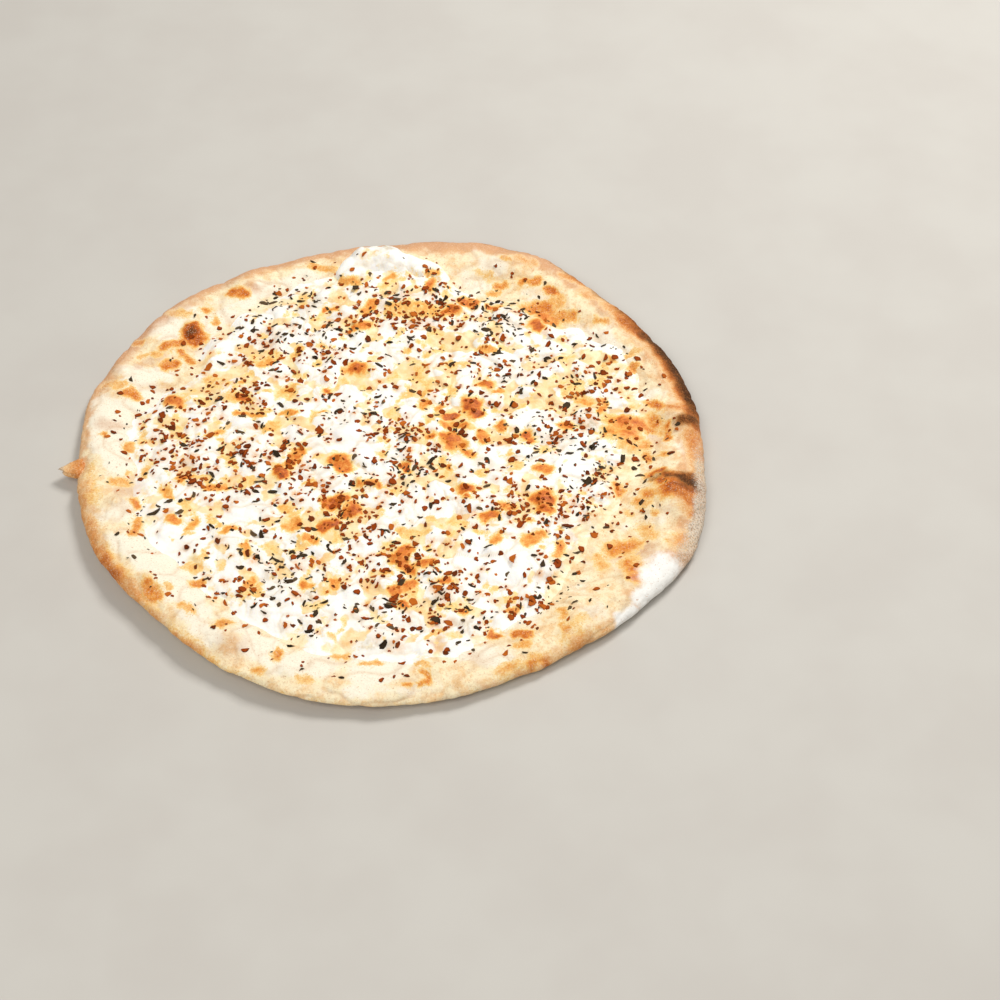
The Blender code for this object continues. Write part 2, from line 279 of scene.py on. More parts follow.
def painted(x, y, strokes, edge, halo=0.0):
    """The strongest stroke at each place: strength * (1 - S-curve of distance / radius), or its halo."""
    total = np.zeros_like(x)
    for radius_in_mm, strength, *spots in strokes:
        radius = radius_in_mm * MM
        line = np.array([seen_at(*spot) for spot in spots])
        reach = radius * (1 + edge) + (HALO_END * HALO_WIDTH if halo else 0)
        near = (x > line[:, 0].min() - reach) & (x < line[:, 0].max() + reach)
        near &= (y > line[:, 1].min() - reach) & (y < line[:, 1].max() + reach)
        near_x, near_y = x[near], y[near]
        distance = np.full_like(near_x, np.inf)
        for start, stop in zip(line, line[1:] if len(line) > 1 else line):
            span = stop - start
            along = (near_x - start[0]) * span[0] + (near_y - start[1]) * span[1]
            along = np.clip(along / max(span @ span, 1e-12), 0, 1)
            gap = np.hypot(near_x - start[0] - along * span[0], near_y - start[1] - along * span[1])
            distance = np.minimum(distance, gap)
        mask = 1 - smooth_step(1 - edge, 1 + edge, distance / radius)
        bell = halo * np.exp(-((np.maximum(distance - radius, 0) / HALO_WIDTH) ** 2))
        total[near] = np.maximum(total[near], strength * np.maximum(mask, bell))
    return total


print("a stroke's halo fades out within", round(HALO_END * HALO_WIDTH / MM, 1), "mm")

# %% [markdown]
# ## Where the oven browned it
#
# Browning is a mask from 0, pale, over 0.3, pale gold, and 0.55, orange, to 1, nearly burnt. Bubbles and
# curds that stood up toasted first, with sharp edges. The rim is golden where it faced the flame.

# %% Toasted strokes: radius in mm, strength, and the spots of the picture that they run through
TOASTED = (
    # back left
    (6.0, 0.68, (193, 333)), (4.2, 0.76, (192, 331)), (3.2, 0.56, (234, 292), (244, 293)),
    (2.5, 0.52, (206, 309)), (2.6, 0.52, (165, 346), (181, 343)), (2.2, 0.5, (182, 352), (190, 360)),
    (2.9, 0.52, (165, 364), (175, 364)), (2.2, 0.34, (104, 385), (122, 384)),
    (3.0, 0.5, (128, 391), (134, 395)), (3.6, 0.58, (171, 401), (177, 404)),
    (3.0, 0.56, (239, 400), (246, 402)), (2.0, 0.48, (242, 384)), (3.0, 0.4, (262, 366), (270, 362)),
    (2.4, 0.36, (284, 392), (296, 388)), (2.0, 0.56, (326, 391)), (1.7, 0.5, (103, 434)),
    (2.3, 0.42, (131, 446), (130, 450)), (1.5, 0.38, (129, 474)), (1.8, 0.44, (207, 436), (222, 432)),
    (1.8, 0.32, (145, 468), (144, 477)), (3.8, 0.62, (354, 370), (362, 371)), (1.8, 0.4, (345, 372)),
    (1.8, 0.42, (341, 283), (358, 284)), (2.2, 0.36, (312, 266), (334, 270)),
    (1.5, 0.44, (386, 282), (395, 277)), (2.8, 0.48, (364, 312), (372, 304)),
    (2.4, 0.54, (354, 329), (368, 327)), (1.6, 0.5, (326, 311), (334, 310)),
    (2.4, 0.36, (295, 356), (300, 350)), (3.0, 0.36, (266, 430), (274, 426)),
    (1.8, 0.44, (238, 414), (260, 417)), (1.6, 0.44, (282, 415), (296, 415)), (1.6, 0.48, (323, 414)),
    (4.2, 0.53, (337, 462), (343, 468)), (3.2, 0.68, (279, 473), (282, 476)),
    (2.6, 0.5, (299, 452), (290, 466)), (2.2, 0.44, (216, 320)),
    # back right
    (2.8, 0.52, (430, 289), (433, 283)), (1.6, 0.4, (428, 277), (438, 275)),
    (4.6, 0.34, (392, 312), (412, 307), (432, 312)), (3.6, 0.55, (446, 315), (454, 311)),
    (3.4, 0.54, (464, 302), (472, 304)), (1.8, 0.54, (448, 290)), (2.6, 0.5, (496, 285), (503, 286)),
    (2.4, 0.36, (489, 292), (497, 292)), (2.6, 0.5, (524, 282), (537, 281)),
    (2.2, 0.52, (547, 289), (557, 293)), (3.0, 0.36, (555, 298), (560, 303)),
    (5.0, 0.48, (536, 307), (546, 308)), (5.4, 0.5, (546, 318), (552, 320)),
    (3.2, 0.58, (534, 327), (540, 329)), (3.4, 0.44, (566, 315), (572, 316)),
    (2.2, 0.36, (597, 319), (606, 322)), (2.0, 0.52, (489, 307), (498, 309)),
    (2.0, 0.42, (484, 351), (493, 352)), (2.2, 0.32, (407, 352)), (1.5, 0.36, (503, 256), (509, 258)),
    (2.6, 0.57, (484, 384), (489, 387)), (1.6, 0.46, (495, 394), (500, 392)),
    (4.4, 0.66, (471, 406), (474, 414)), (1.9, 0.64, (446, 417), (456, 417)),
    (2.6, 0.46, (447, 425), (464, 427)), (4.6, 0.58, (450, 440), (455, 445)),
    (1.8, 0.46, (463, 452), (472, 457)), (3.0, 0.5, (483, 441), (482, 436)),
    (2.2, 0.52, (427, 439), (433, 438)), (2.2, 0.38, (424, 396), (428, 392)),
    (2.4, 0.5, (423, 408), (426, 406)), (1.6, 0.44, (436, 411), (442, 406)),
    (2.6, 0.55, (500, 430), (503, 428)), (2.6, 0.6, (526, 436), (531, 442)),
    (2.9, 0.5, (541, 470), (547, 472)), (1.9, 0.58, (404, 466), (405, 471)), (2.2, 0.5, (448, 469)),
    (1.9, 0.54, (563, 426), (570, 428)), (1.9, 0.46, (603, 403), (600, 415)),
    (2.0, 0.4, (576, 401), (586, 404)), (1.8, 0.46, (634, 366), (632, 373)), (2.0, 0.42, (611, 362)),
    (2.2, 0.3, (628, 354), (638, 350)),
    # front left
    (1.8, 0.5, (137, 506), (134, 500)), (1.5, 0.48, (138, 518), (135, 530), (133, 535)),
    (2.2, 0.48, (170, 521), (177, 523)), (1.8, 0.42, (196, 523), (190, 530)),
    (2.0, 0.46, (224, 533), (234, 529)), (2.6, 0.52, (183, 482), (191, 479)),
    (2.4, 0.46, (210, 489), (226, 490)), (2.0, 0.42, (166, 490), (170, 498)),
    (3.4, 0.46, (147, 583), (156, 596)), (3.0, 0.3, (188, 565), (196, 569)),
    (1.8, 0.44, (193, 585), (201, 584)), (1.6, 0.3, (165, 582), (171, 588)),
    (2.4, 0.44, (219, 624), (227, 622)), (2.4, 0.44, (279, 652), (277, 657)),
    (2.0, 0.38, (336, 657), (346, 656)), (2.0, 0.38, (366, 664), (376, 663)),
    (1.9, 0.44, (247, 586), (252, 583)), (1.7, 0.48, (245, 548), (247, 558)),
    (2.0, 0.4, (283, 508), (287, 512)), (3.0, 0.42, (288, 528), (296, 524)),
    (2.4, 0.46, (306, 541), (314, 541)), (3.0, 0.62, (322, 530), (335, 524)),
    (3.8, 0.62, (330, 506), (342, 502)), (3.4, 0.58, (348, 516), (356, 511)),
    (2.2, 0.48, (305, 586), (309, 587)), (2.2, 0.48, (333, 583), (336, 586)),
    (2.0, 0.48, (360, 486), (378, 486)), (2.2, 0.36, (183, 605), (190, 611)),
    # front right
    (2.6, 0.6, (461, 493), (471, 492)), (1.9, 0.58, (466, 500)), (4.4, 0.6, (538, 502), (547, 500)),
    (3.6, 0.6, (545, 512)), (2.6, 0.52, (504, 508), (511, 511)), (2.4, 0.56, (484, 519), (496, 516)),
    (1.8, 0.5, (528, 521)), (2.6, 0.5, (493, 542), (498, 539)), (3.2, 0.46, (527, 543), (539, 538)),
    (2.6, 0.46, (559, 547), (557, 556)), (2.0, 0.28, (427, 550)), (3.0, 0.56, (397, 560), (409, 551)),
    (3.2, 0.56, (403, 566), (409, 572)), (2.9, 0.54, (420, 566), (430, 565)),
    (3.0, 0.52, (396, 592), (412, 586)), (2.0, 0.4, (383, 575), (390, 575)),
    (2.2, 0.56, (442, 584), (447, 582)), (2.2, 0.55, (460, 611), (466, 614)),
    (1.9, 0.52, (403, 604), (405, 609)), (1.9, 0.52, (510, 612), (518, 610)),
    (2.5, 0.56, (517, 634), (529, 634)), (2.2, 0.38, (517, 645), (527, 643)),
    (1.7, 0.56, (491, 633), (497, 636)), (2.2, 0.42, (563, 626), (567, 629)),
    (2.2, 0.4, (563, 610), (563, 616)), (2.2, 0.52, (618, 486), (621, 492)),
    (1.4, 0.46, (424, 669), (428, 674), (427, 681), (421, 685)),
    (1.1, 0.34, (415, 665), (424, 661), (431, 664)), (1.1, 0.5, (403, 685), (409, 684)),
    (1.0, 0.34, (425, 642), (429, 635), (441, 634)),
)
print(len(TOASTED), "toasted strokes")

# %% Softer scorches on the bare dough, which fade out over their whole width
SCORCHED = (
    # the ridge and the blotch at the right
    (3.4, 0.5, (612, 422), (622, 420), (634, 424)), (2.4, 0.54, (629, 434), (635, 438)),
    (2.2, 0.56, (648, 403), (655, 403)), (2.6, 0.52, (655, 404), (668, 408), (682, 407)),
    (2.2, 0.5, (682, 408), (690, 412)), (3.4, 0.58, (684, 419), (692, 422)),
    (5.0, 0.54, (618, 424), (634, 426)), (4.4, 0.55, (612, 434), (632, 436)),
    (2.6, 0.5, (640, 424), (652, 431)), (3.0, 0.52, (652, 419), (656, 424)),
    (2.2, 0.5, (667, 424), (669, 438)), (3.0, 0.4, (655, 430), (666, 432)),
    (4.0, 0.38, (626, 445), (642, 446)), (2.4, 0.6, (646, 456), (650, 459)), (1.6, 0.5, (663, 454)),
    (4.0, 0.36, (690, 436), (694, 450)),
    # the bubble below them
    (3.0, 0.74, (668, 474), (681, 475), (693, 483)), (3.0, 0.66, (662, 488), (676, 490)),
    (2.4, 0.6, (650, 476), (655, 472), (662, 470)), (3.6, 0.6, (660, 480), (668, 482)),
    (5.4, 0.66, (672, 482), (686, 488)), (4.0, 0.54, (668, 492), (688, 496)),
    (4.4, 0.44, (688, 500), (692, 510)), (3.0, 0.52, (645, 494), (650, 494)),
    (2.6, 0.4, (636, 502), (648, 502)), (2.0, 0.46, (655, 511)), (1.8, 0.4, (630, 513)),
    # the dough in front of it
    (4.0, 0.34, (644, 530), (650, 534)), (4.6, 0.36, (676, 542), (684, 538)),
    (5.0, 0.46, (614, 548), (632, 546)), (4.2, 0.52, (630, 562), (636, 576)),
    (3.4, 0.34, (597, 556), (604, 566)), (4.0, 0.28, (575, 644), (590, 638)),
    (2.6, 0.46, (531, 664), (536, 661)), (2.4, 0.46, (546, 662), (549, 665)),
    (4.0, 0.24, (560, 640), (580, 618)),
    # back rim
    (2.0, 0.48, (136, 343), (141, 343)), (3.0, 0.34, (170, 314), (185, 313)),
    (2.0, 0.36, (140, 357), (160, 353)), (3.4, 0.3, (520, 257), (532, 264)),
    (3.0, 0.46, (564, 276), (585, 284)), (3.0, 0.46, (620, 319), (638, 334)),
    (3.0, 0.24, (480, 271), (490, 279)), (2.6, 0.3, (580, 292), (590, 297)),
    (3.0, 0.42, (526, 306), (533, 311)),
    # left and front rim
    (2.4, 0.4, (111, 481), (127, 482)), (4.5, 0.26, (88, 470), (92, 500)),
    (3.0, 0.22, (100, 556), (118, 578)), (2.0, 0.4, (256, 670), (261, 671)),
    (2.0, 0.34, (298, 678), (310, 680)), (2.6, 0.34, (500, 670), (518, 664)),
)
print(len(SCORCHED), "scorches")

# %% Bands along the rim: angle, spread, strength, and the share of the reach at which they begin
RIM_GOLD = (
    (212, 14, 0.4, 0.93), (196, 11, 0.28, 0.945), (234, 13, 0.38, 0.955), (258, 12, 0.4, 0.978),
    (278, 9, 0.32, 0.982), (296, 10, 0.3, 0.95), (309, 8, 0.28, 0.945), (34, 14, 0.6, 0.915),
    (14, 13, 0.56, 0.915), (62, 16, 0.16, 0.955), (350, 12, 0.34, 0.92), (174, 14, 0.26, 0.965),
    (120, 40, 0.14, 0.965), (90, 14, 0.12, 0.965),
)
CHAR_BAND = (
    (27, 8, 1.0, 0.934), (14, 8, 0.97, 0.942), (41, 9, 0.6, 0.956), (60, 13, 0.6, 0.965),
    (82, 14, 0.5, 0.968),
)
FLOUR_BAND = ((325, 8, 0.8, 0.95), (342, 10, 0.95, 0.94), (356, 9, 0.7, 0.95), (284, 9, 0.45, 0.98))
ROSE_BAND = (
    (118, 26, 0.9, 0.935), (150, 14, 0.9, 0.935), (88, 16, 0.75, 0.91), (345, 18, 0.9, 0.92),
    (62, 18, 0.75, 0.92), (38, 14, 0.6, 0.92), (14, 12, 0.6, 0.92),
)
# Where the film of fat is missing, and where the tan of the rim reaches further in: angle, spread, amount
FILM_GAPS = ((12, 34, 0.85), (330, 16, 0.5), (140, 14, 0.35))
TAN_BULGES = ((20, 34, 0.05), (345, 20, 0.03), (80, 22, 0.045), (125, 25, 0.01), (265, 40, -0.07))
print(len(RIM_GOLD) + len(CHAR_BAND) + len(FLOUR_BAND) + len(ROSE_BAND), "bands along the rim")

# %% Char, flour, the rose of scorched bran, and thin lines: strokes like the toasted ones
CHARRED = (
    (1.0, 0.5, (600, 297), (614, 304), (640, 328)), (3.6, 0.85, (682, 419), (696, 421)),
    (3.4, 0.75, (672, 475), (682, 476)), (4.6, 0.95, (684, 478), (693, 482)),
    (3.0, 0.8, (692, 483), (697, 489)), (2.6, 0.5, (655, 478), (664, 473)),
)
FLOURED = (
    (7.5, 1.0, (663, 568), (657, 580)), (5.0, 1.0, (652, 590), (645, 600)),
    (3.0, 0.9, (634, 611), (622, 622)),
)
ROSY = (
    (7.0, 0.32, (396, 314), (430, 314)), (6.0, 0.52, (232, 645)), (3.6, 0.7, (437, 645)),
    (3.0, 0.6, (407, 683)), (6.0, 0.55, (655, 436)), (5.0, 0.9, (618, 552), (642, 550)),
    (4.5, 0.9, (631, 568), (640, 582)), (3.0, 0.6, (596, 302), (609, 314)),
    (3.0, 0.6, (196, 300), (170, 318)), (2.6, 0.8, (249, 284), (256, 289)),
    (2.0, 0.6, (136, 366), (164, 356)), (3.0, 0.5, (120, 492), (134, 488)),
    (3.0, 0.6, (100, 423), (116, 426)), (3.0, 0.4, (690, 446), (700, 500)),
)
# Thin lines, grooved into the crust and darkened with painted shade
CREASED = (
    (0.55, 0.8, (273, 265), (279, 272), (281, 279)), (0.6, 0.8, (251, 280), (260, 281), (270, 284)),
    (0.5, 0.6, (240, 286), (258, 285)), (0.6, 0.8, (118, 488), (113, 500), (104, 511)),
    (0.5, 0.6, (119, 484), (130, 485)), (0.5, 0.7, (135, 495), (124, 502), (110, 509)),
    (0.55, 0.8, (560, 320), (570, 326), (582, 326), (590, 321)),
    (0.55, 0.6, (471, 279), (500, 280), (520, 278)), (0.7, 1.0, (520, 278), (538, 279)),
    (0.7, 1.0, (545, 287), (560, 293)), (0.55, 0.8, (565, 291), (569, 281)),
    (0.5, 0.7, (652, 379), (661, 384)), (0.5, 0.6, (650, 362), (657, 374)),
    (0.6, 0.5, (630, 338), (648, 352)), (0.6, 0.6, (605, 462), (618, 465), (628, 469)),
    (0.6, 0.7, (641, 480), (650, 472), (660, 468)), (0.6, 0.7, (532, 640), (530, 650), (526, 658)),
    (0.6, 0.6, (571, 582), (576, 590), (588, 588)), (0.5, 0.5, (240, 620), (250, 640), (256, 656)),
    (0.5, 0.5, (105, 395), (118, 398)), (0.6, 0.5, (120, 360), (136, 366), (150, 372)),
    (0.55, 0.6, (200, 325), (209, 330)), (0.55, 0.5, (450, 668), (470, 655), (490, 645)),
    (0.55, 0.5, (615, 598), (600, 612), (590, 620)),
)
# Milky drifts of cheese fat on the bare dough, and one painted highlight on the bubble at the right
MILKY = (
    (5.0, 0.8, (300, 690), (332, 697)), (5.0, 0.9, (350, 698), (410, 697)),
    (4.0, 0.6, (430, 694), (482, 684)), (5.0, 0.9, (150, 332), (172, 318), (200, 308)),
    (5.0, 0.9, (128, 382), (160, 372)), (4.0, 0.8, (206, 348), (214, 324)),
    (4.0, 0.8, (244, 302), (268, 288)), (5.0, 0.8, (152, 395), (124, 408)),
    (4.0, 0.7, (205, 330), (225, 312)), (6.0, 0.95, (100, 402), (97, 430), (101, 450)),
    (6.0, 0.95, (112, 408), (122, 432), (116, 462)), (5.0, 0.8, (104, 515), (120, 512)),
    (7.0, 0.95, (128, 545), (152, 562), (176, 590)), (6.0, 0.9, (186, 612), (206, 636)),
    (6.5, 0.9, (250, 645), (276, 662), (318, 668)), (8.0, 1.0, (370, 676), (388, 664)),
    (6.0, 0.7, (460, 650), (505, 662)), (5.0, 0.9, (172, 330)), (4.5, 0.8, (116, 370), (146, 375)),
    # The stroke at (656, 493) is a painted highlight on the bubble at the right
    (4.0, 0.6, (640, 395), (662, 396)), (4.0, 0.3, (668, 510), (664, 522)), (1.9, 0.9, (656, 493)),
    (2.0, 0.8, (680, 432)), (2.6, 0.7, (643, 437)), (3.0, 0.9, (110, 370), (120, 368)),
    (3.0, 0.8, (166, 338), (180, 322)),
    (4.0, 0.6, (600, 610), (585, 612)), (5.0, 0.5, (478, 253), (500, 264)),
    (5.0, 0.6, (640, 440), (650, 436)), (4.0, 0.6, (220, 300), (212, 303)),
    (4.0, 0.7, (310, 275), (290, 280)), (6.0, 0.8, (590, 335), (620, 352)),
    (4.0, 0.5, (680, 440), (684, 452)), (5.0, 0.7, (420, 690), (400, 692)),
)
print(len(CREASED), "thin lines and", len(MILKY), "milky drifts")

# %% Drifts on the cheese: white curds, butter yellow, and grey, partly herbs under it and partly painted shade
CURDY = (
    (13, 1.0, (520, 560), (560, 590)), (9, 1.0, (470, 560)), (8, 0.9, (160, 535)), (7, 0.9, (121, 430)),
    (7, 0.8, (150, 480)), (8, 0.8, (228, 350), (240, 340)), (7, 1.0, (576, 335), (600, 338)),
    (8, 0.9, (498, 368)), (9, 0.9, (468, 466)), (8, 0.55, (625, 390)), (7, 1.0, (352, 268), (384, 262)),
    (7, 1.0, (412, 262), (436, 268)), (8, 0.8, (305, 440)), (7, 0.8, (490, 270), (470, 285)),
    (9, 0.8, (270, 615)), (9, 0.7, (585, 460)), (7, 0.7, (340, 420)), (6, 0.9, (281, 592)),
    (7, 0.9, (245, 500)), (6, 0.9, (300, 470)), (6, 0.8, (290, 405)), (6, 0.8, (385, 395)),
    (6, 0.9, (350, 550)), (8, 0.9, (410, 510)), (7, 0.9, (350, 605)), (6, 0.8, (620, 512)),
)
BUTTERY = (
    (8, 0.9, (198, 385), (222, 392)), (7, 0.8, (262, 402)), (7, 0.8, (300, 395)),
    (8, 0.9, (405, 378), (440, 376)), (8, 1.0, (540, 400), (566, 390)), (7, 0.6, (610, 380), (640, 400)),
    (7, 0.7, (455, 533), (430, 530)), (7, 0.6, (300, 525)), (7, 0.8, (190, 562)),
    (7, 0.7, (590, 365), (570, 358)), (6, 0.7, (200, 340), (210, 350)), (4.5, 0.8, (366, 264), (378, 262)),
    (6, 0.7, (430, 350), (470, 345)), (7, 0.6, (400, 595)), (6, 0.6, (320, 380)),
)
# Grey: partly herbs that show through, partly painted shade round lumps and along the spoonfuls' upper edges
GREY_HERB_AND_SHADE = (
    (6, 0.8, (300, 300), (330, 318)), (5, 0.6, (272, 345), (262, 340)), (5, 0.5, (385, 300)),
    (5, 0.7, (515, 325), (490, 318)), (5, 1.0, (588, 424), (604, 426)), (4, 1.0, (598, 430), (612, 416)),
    (5, 0.7, (545, 445), (570, 445)), (4, 0.8, (365, 645), (395, 650)), (4, 0.8, (308, 600), (316, 620)),
    (5, 0.7, (460, 620), (474, 630)), (4, 0.6, (232, 470), (245, 500), (256, 508)),
    (5, 0.6, (300, 560), (280, 575)), (4, 0.7, (625, 478), (640, 484)), (5, 0.8, (434, 602), (450, 600)),
    (4, 0.5, (360, 420), (345, 424)), (4, 0.7, (208, 606)), (4, 0.5, (585, 525), (600, 522)),
    (4, 0.6, (505, 415), (515, 412)), (4, 0.6, (240, 345), (250, 352)), (4, 0.6, (425, 478), (412, 484)),
    # Painted shade along the upper edges of the spoonfuls
    (2.4, 1.0, (350, 257), (366, 253), (384, 253), (398, 258)), (1.8, 1.0, (416, 256), (434, 256)),
    (4, 0.8, (446, 262), (462, 276)),
)
print(len(CURDY) + len(BUTTERY) + len(GREY_HERB_AND_SHADE), "drifts of white, butter and grey")

# %% Functions that put the marks together
def band_at(x, y, bands, rough, width):
    """Sum of strength * exp(-(degrees away / spread)^2) * S-curve from each band's ragged inner edge."""
    angle = np.arctan2(y, x)
    share = rim_share(x, y) + rough
    total = np.zeros_like(x)
    for centre, spread, strength, start in bands:
        total += bulges_at(angle, ((centre, spread, strength),)) * smooth_step(start, start + width, share)
    return total


def creases_at(x, y, edge):
    """The painted thin lines, a little shaken."""
    return painted(*shaken(x, y, 0.5 * MM, 4 * MM, seed=23), CREASED, edge)


def oven_marks(x, y):
    """The marks that dough and cheese share, each from 0 to 1: toast, char, flour, rose and fine lines of
    painted shade.
    """
    ragged_x, ragged_y = shaken(x, y, 1.6 * MM, 7 * MM, seed=3)
    ragged_x, ragged_y = shaken(ragged_x, ragged_y, 0.8 * MM, 2.6 * MM, seed=17)
    rough = 0.012 * layered(x, y, 11 * MM, seed=50)
    toast = painted(ragged_x, ragged_y, TOASTED, edge=0.50, halo=0.36)
    toast *= 1.06 + 0.20 * layered(x, y, 2.6 * MM, seed=31, layers=2)
    scorch = painted(ragged_x, ragged_y, SCORCHED, edge=1.0)
    scorch *= 1.05 + 0.30 * layered(x, y, 3.6 * MM, seed=35, layers=2)
    toast = np.maximum(toast, scorch)
    mottled = 1 + 0.25 * layered(x, y, 15 * MM, seed=12) + 0.30 * layered(x, y, 5 * MM, seed=14)
    gold = band_at(x, y, RIM_GOLD, rough, width=0.055) * mottled
    char = painted(ragged_x, ragged_y, CHARRED, edge=0.9)
    rose = painted(ragged_x, ragged_y, ROSY, edge=0.7)
    return {
        "toast": np.maximum(toast, gold) + 0.3 * np.minimum(toast, gold),
        "char": np.maximum(char, band_at(x, y, CHAR_BAND, 1.4 * rough, width=0.045)),
        "flour": painted(ragged_x, ragged_y, FLOURED, edge=0.95),
        "dust": band_at(x, y, FLOUR_BAND, rough, width=0.035),
        "rose": np.maximum(rose, band_at(x, y, ROSE_BAND, rough, width=0.045)),
        "line": creases_at(x, y, edge=0.5),
    }


def bare_whiteness(x, y):
    """Milky patches on the bare dough, and a cloudy film of fat that runs out towards the rim."""
    ragged_x, ragged_y = shaken(x, y, 3.2 * MM, 9 * MM, seed=80)
    cloudy = layered(x, y, 13 * MM, seed=84)
    film = 1 - smooth_step(0.84, 0.97, rim_share(x, y) + 0.05 * cloudy)
    film *= 1 - np.clip(bulges_at(np.arctan2(y, x), FILM_GAPS), 0, 1)
    milky = painted(ragged_x, ragged_y, MILKY, edge=0.9)
    return np.clip(0.9 * milky + 0.55 * film + 0.50 * cloudy - 0.05, 0, 1)


def rim_tan(x, y):
    """1 on the outer rim, where the heat turned the dough tan, and 0 inside it."""
    cloudy = 0.022 * layered(x, y, 10 * MM, seed=61) + 0.026 * layered(x, y, 4 * MM, seed=62)
    return smooth_step(0.93, 1.0, rim_share(x, y) + cloudy + bulges_at(np.arctan2(y, x), TAN_BULGES))


dark_x, dark_y = np.array([seen_at(193, 333)]).T
print("toast in the dark spot at the back left:", round(float(oven_marks(dark_x, dark_y)["toast"][0]), 2))

# %% [markdown]
# ## The crust
#
# The crust is one closed skin: a profile that runs from the middle of the top, over the puffed rim, round the
# edge and back under the bread, carried round the full circle. The two parameters are the place along the
# profile and the angle. The rings lie close together on the rim, which shows, and far apart under the cheese.
# Noise in several sizes then moves the skin along its own normal, so that the rim gets wrinkles and pits.

# %% The profile of the crust
SPOKES = 800


def crust_profile():
    """Rows of share of reach, level from 0 below to 1 on top, and the normal's outward and upward parts."""
    rows = [(share, 1.0, 0.0, 1.0) for share in (0.2, 0.4, 0.55, 0.66)]
    rows += [(share, 1.0, 0.0, 1.0) for share in np.linspace(0.73, RIM_CREST, 36)]
    for turn in np.radians(np.linspace(4.5, 90, 20)):
        share = RIM_CREST + (1 - RIM_CREST) * math.sin(turn)
        rows.append((share, NOSE_LEVEL + (1 - NOSE_LEVEL) * math.cos(turn), math.sin(turn), math.cos(turn)))
    for turn in np.radians(np.linspace(9, 90, 10)):
        share = UNDERSIDE_SHARE + (1 - UNDERSIDE_SHARE) * math.cos(turn)
        rows.append((share, NOSE_LEVEL * (1 - math.sin(turn)), math.cos(turn), -math.sin(turn)))
    rows += [(share, 0.0, 0.0, -1.0) for share in np.linspace(0.93, 0.04, 24)]
    return np.array(rows)


profile = crust_profile()
print("crust profile has", len(profile), "rings")

# %% The crust's relief
BLISTERS = 130
blister_rng = np.random.RandomState(21)
blister_angle = blister_rng.uniform(0, 2 * np.pi, BLISTERS)
blister_reach = edge_reach(blister_angle) * blister_rng.uniform(0.84, 0.985, BLISTERS)
blister_radius = blister_rng.uniform(1.6 * MM, 5.5 * MM, BLISTERS)
blister_height = blister_radius * blister_rng.uniform(0.08, 0.22, BLISTERS)
blister_x, blister_y = blister_reach * np.cos(blister_angle), blister_reach * np.sin(blister_angle)
rim_blisters = list(zip(blister_x, blister_y, blister_radius, blister_height))
print(len(rim_blisters), "small blisters on the rim")


def wrinkles_at(x, y, z):
    """1 in the bottom of a wrinkle and 0 beside it: broad lines, and thin ones where noise lets them."""
    broad = thin_lines(x, y, z, 13 * MM, seed=2, narrow=5)
    thin = thin_lines(x, y, z, 6.5 * MM, seed=9, narrow=4)
    here = smooth_step(-0.2, 0.5, unevenness(x, y, z, 17 * MM, seed=15))
    return np.maximum(broad, 0.7 * thin * here)


def crust_relief(x, y, z):
    """How far the skin stands out: waves and two sizes of grain, less the wrinkles and painted lines."""
    waves = 0.55 * MM * unevenness(x, y, z, 24 * MM, seed=1)
    grain = 0.20 * MM * unevenness(x, y, z, 4.2 * MM, seed=4)
    grain = grain + 0.09 * MM * unevenness(x, y, z, 1.9 * MM, seed=6)
    lines = -0.50 * MM * creases_at(x, y, edge=0.6)
    return waves - 0.50 * MM * wrinkles_at(x, y, z) + grain + lines


def crust_top(x, y):
    """Height of the finished upper face."""
    return dough_top(x, y) + crust_relief(x, y, np.zeros_like(x)) + domes_at(x, y, rim_blisters)


# %% Turn the profile round
angle = np.linspace(0, 2 * np.pi, SPOKES, endpoint=False)[None, :]
share, level, out_part, up_part = [profile[:, i:i + 1] for i in range(4)]
ragged = 0.0035 * layered(140 * np.cos(angle), 140 * np.sin(angle), 9, seed=40)
radius = share * edge_reach(angle) * (1 + ragged * smooth_step(0.8, 1, share))
crust_x, crust_y = radius * np.cos(angle), radius * np.sin(angle)
floor_z = dough_floor(crust_x, crust_y)
crust_z = floor_z + level * (dough_crown(crust_x, crust_y) - floor_z)
wall_z = np.where(up_part < 1, crust_z - RIM_HEIGHT, 0)
risen = domes_at(crust_x, crust_y, rim_blisters) * np.clip(up_part, 0, 1)
relief = crust_relief(crust_x, crust_y, wall_z) + risen
# Below the nose the relief is half as deep, and the flat underside has none
relief *= np.where(up_part < 0, np.where(up_part == -1, 0.0, 0.5), 1.0)
crust_x = crust_x + relief * out_part * np.cos(angle)
crust_y = crust_y + relief * out_part * np.sin(angle)
crust_z = np.maximum(crust_z + relief * up_part, 0)
print("rim stands up to", round(float(crust_z.max() / MM), 1), "mm")

# %% Helpers that put a closed skin into a mesh
def ring_faces(rings, spokes, first=0):
    """The four-sided faces between neighbouring rings, wound so that out-and-round faces up."""
    here = first + np.arange(rings - 1)[:, None] * spokes + np.arange(spokes)[None, :]
    turned = np.roll(here, -1, axis=1)
    return np.stack([here, here + spokes, turned + spokes, turned], -1).reshape(-1, 4)


def fan_faces(ring, pole, inward):
    """The three-sided faces between a ring of indices and the pole in its middle."""
    turned = np.roll(ring, -1)
    middle = np.full_like(ring, pole)
    return np.stack([ring, middle, turned] if inward else [middle, ring, turned], -1)


def make_piece(name, points, face_groups, marks, smooth=True):
    """A mesh object at the origin, made of points, groups of faces and named values at the points."""
    mesh = bpy.data.meshes.new(name)
    faces = [face for group in face_groups for face in group.tolist()]
    mesh.from_pydata(points.reshape(-1, 3), [], faces)
    for mark, values in marks.items():
        layer = mesh.attributes.new(mark, "FLOAT", "POINT")
        layer.data.foreach_set("value", np.ascontiguousarray(values, dtype=np.float32).ravel())
    if smooth:
        mesh.shade_smooth()
    triangles = sum(len(group) * (group.shape[1] - 2) for group in face_groups)
    print(name, "has", triangles, "triangles")
    return placed(name, mesh)


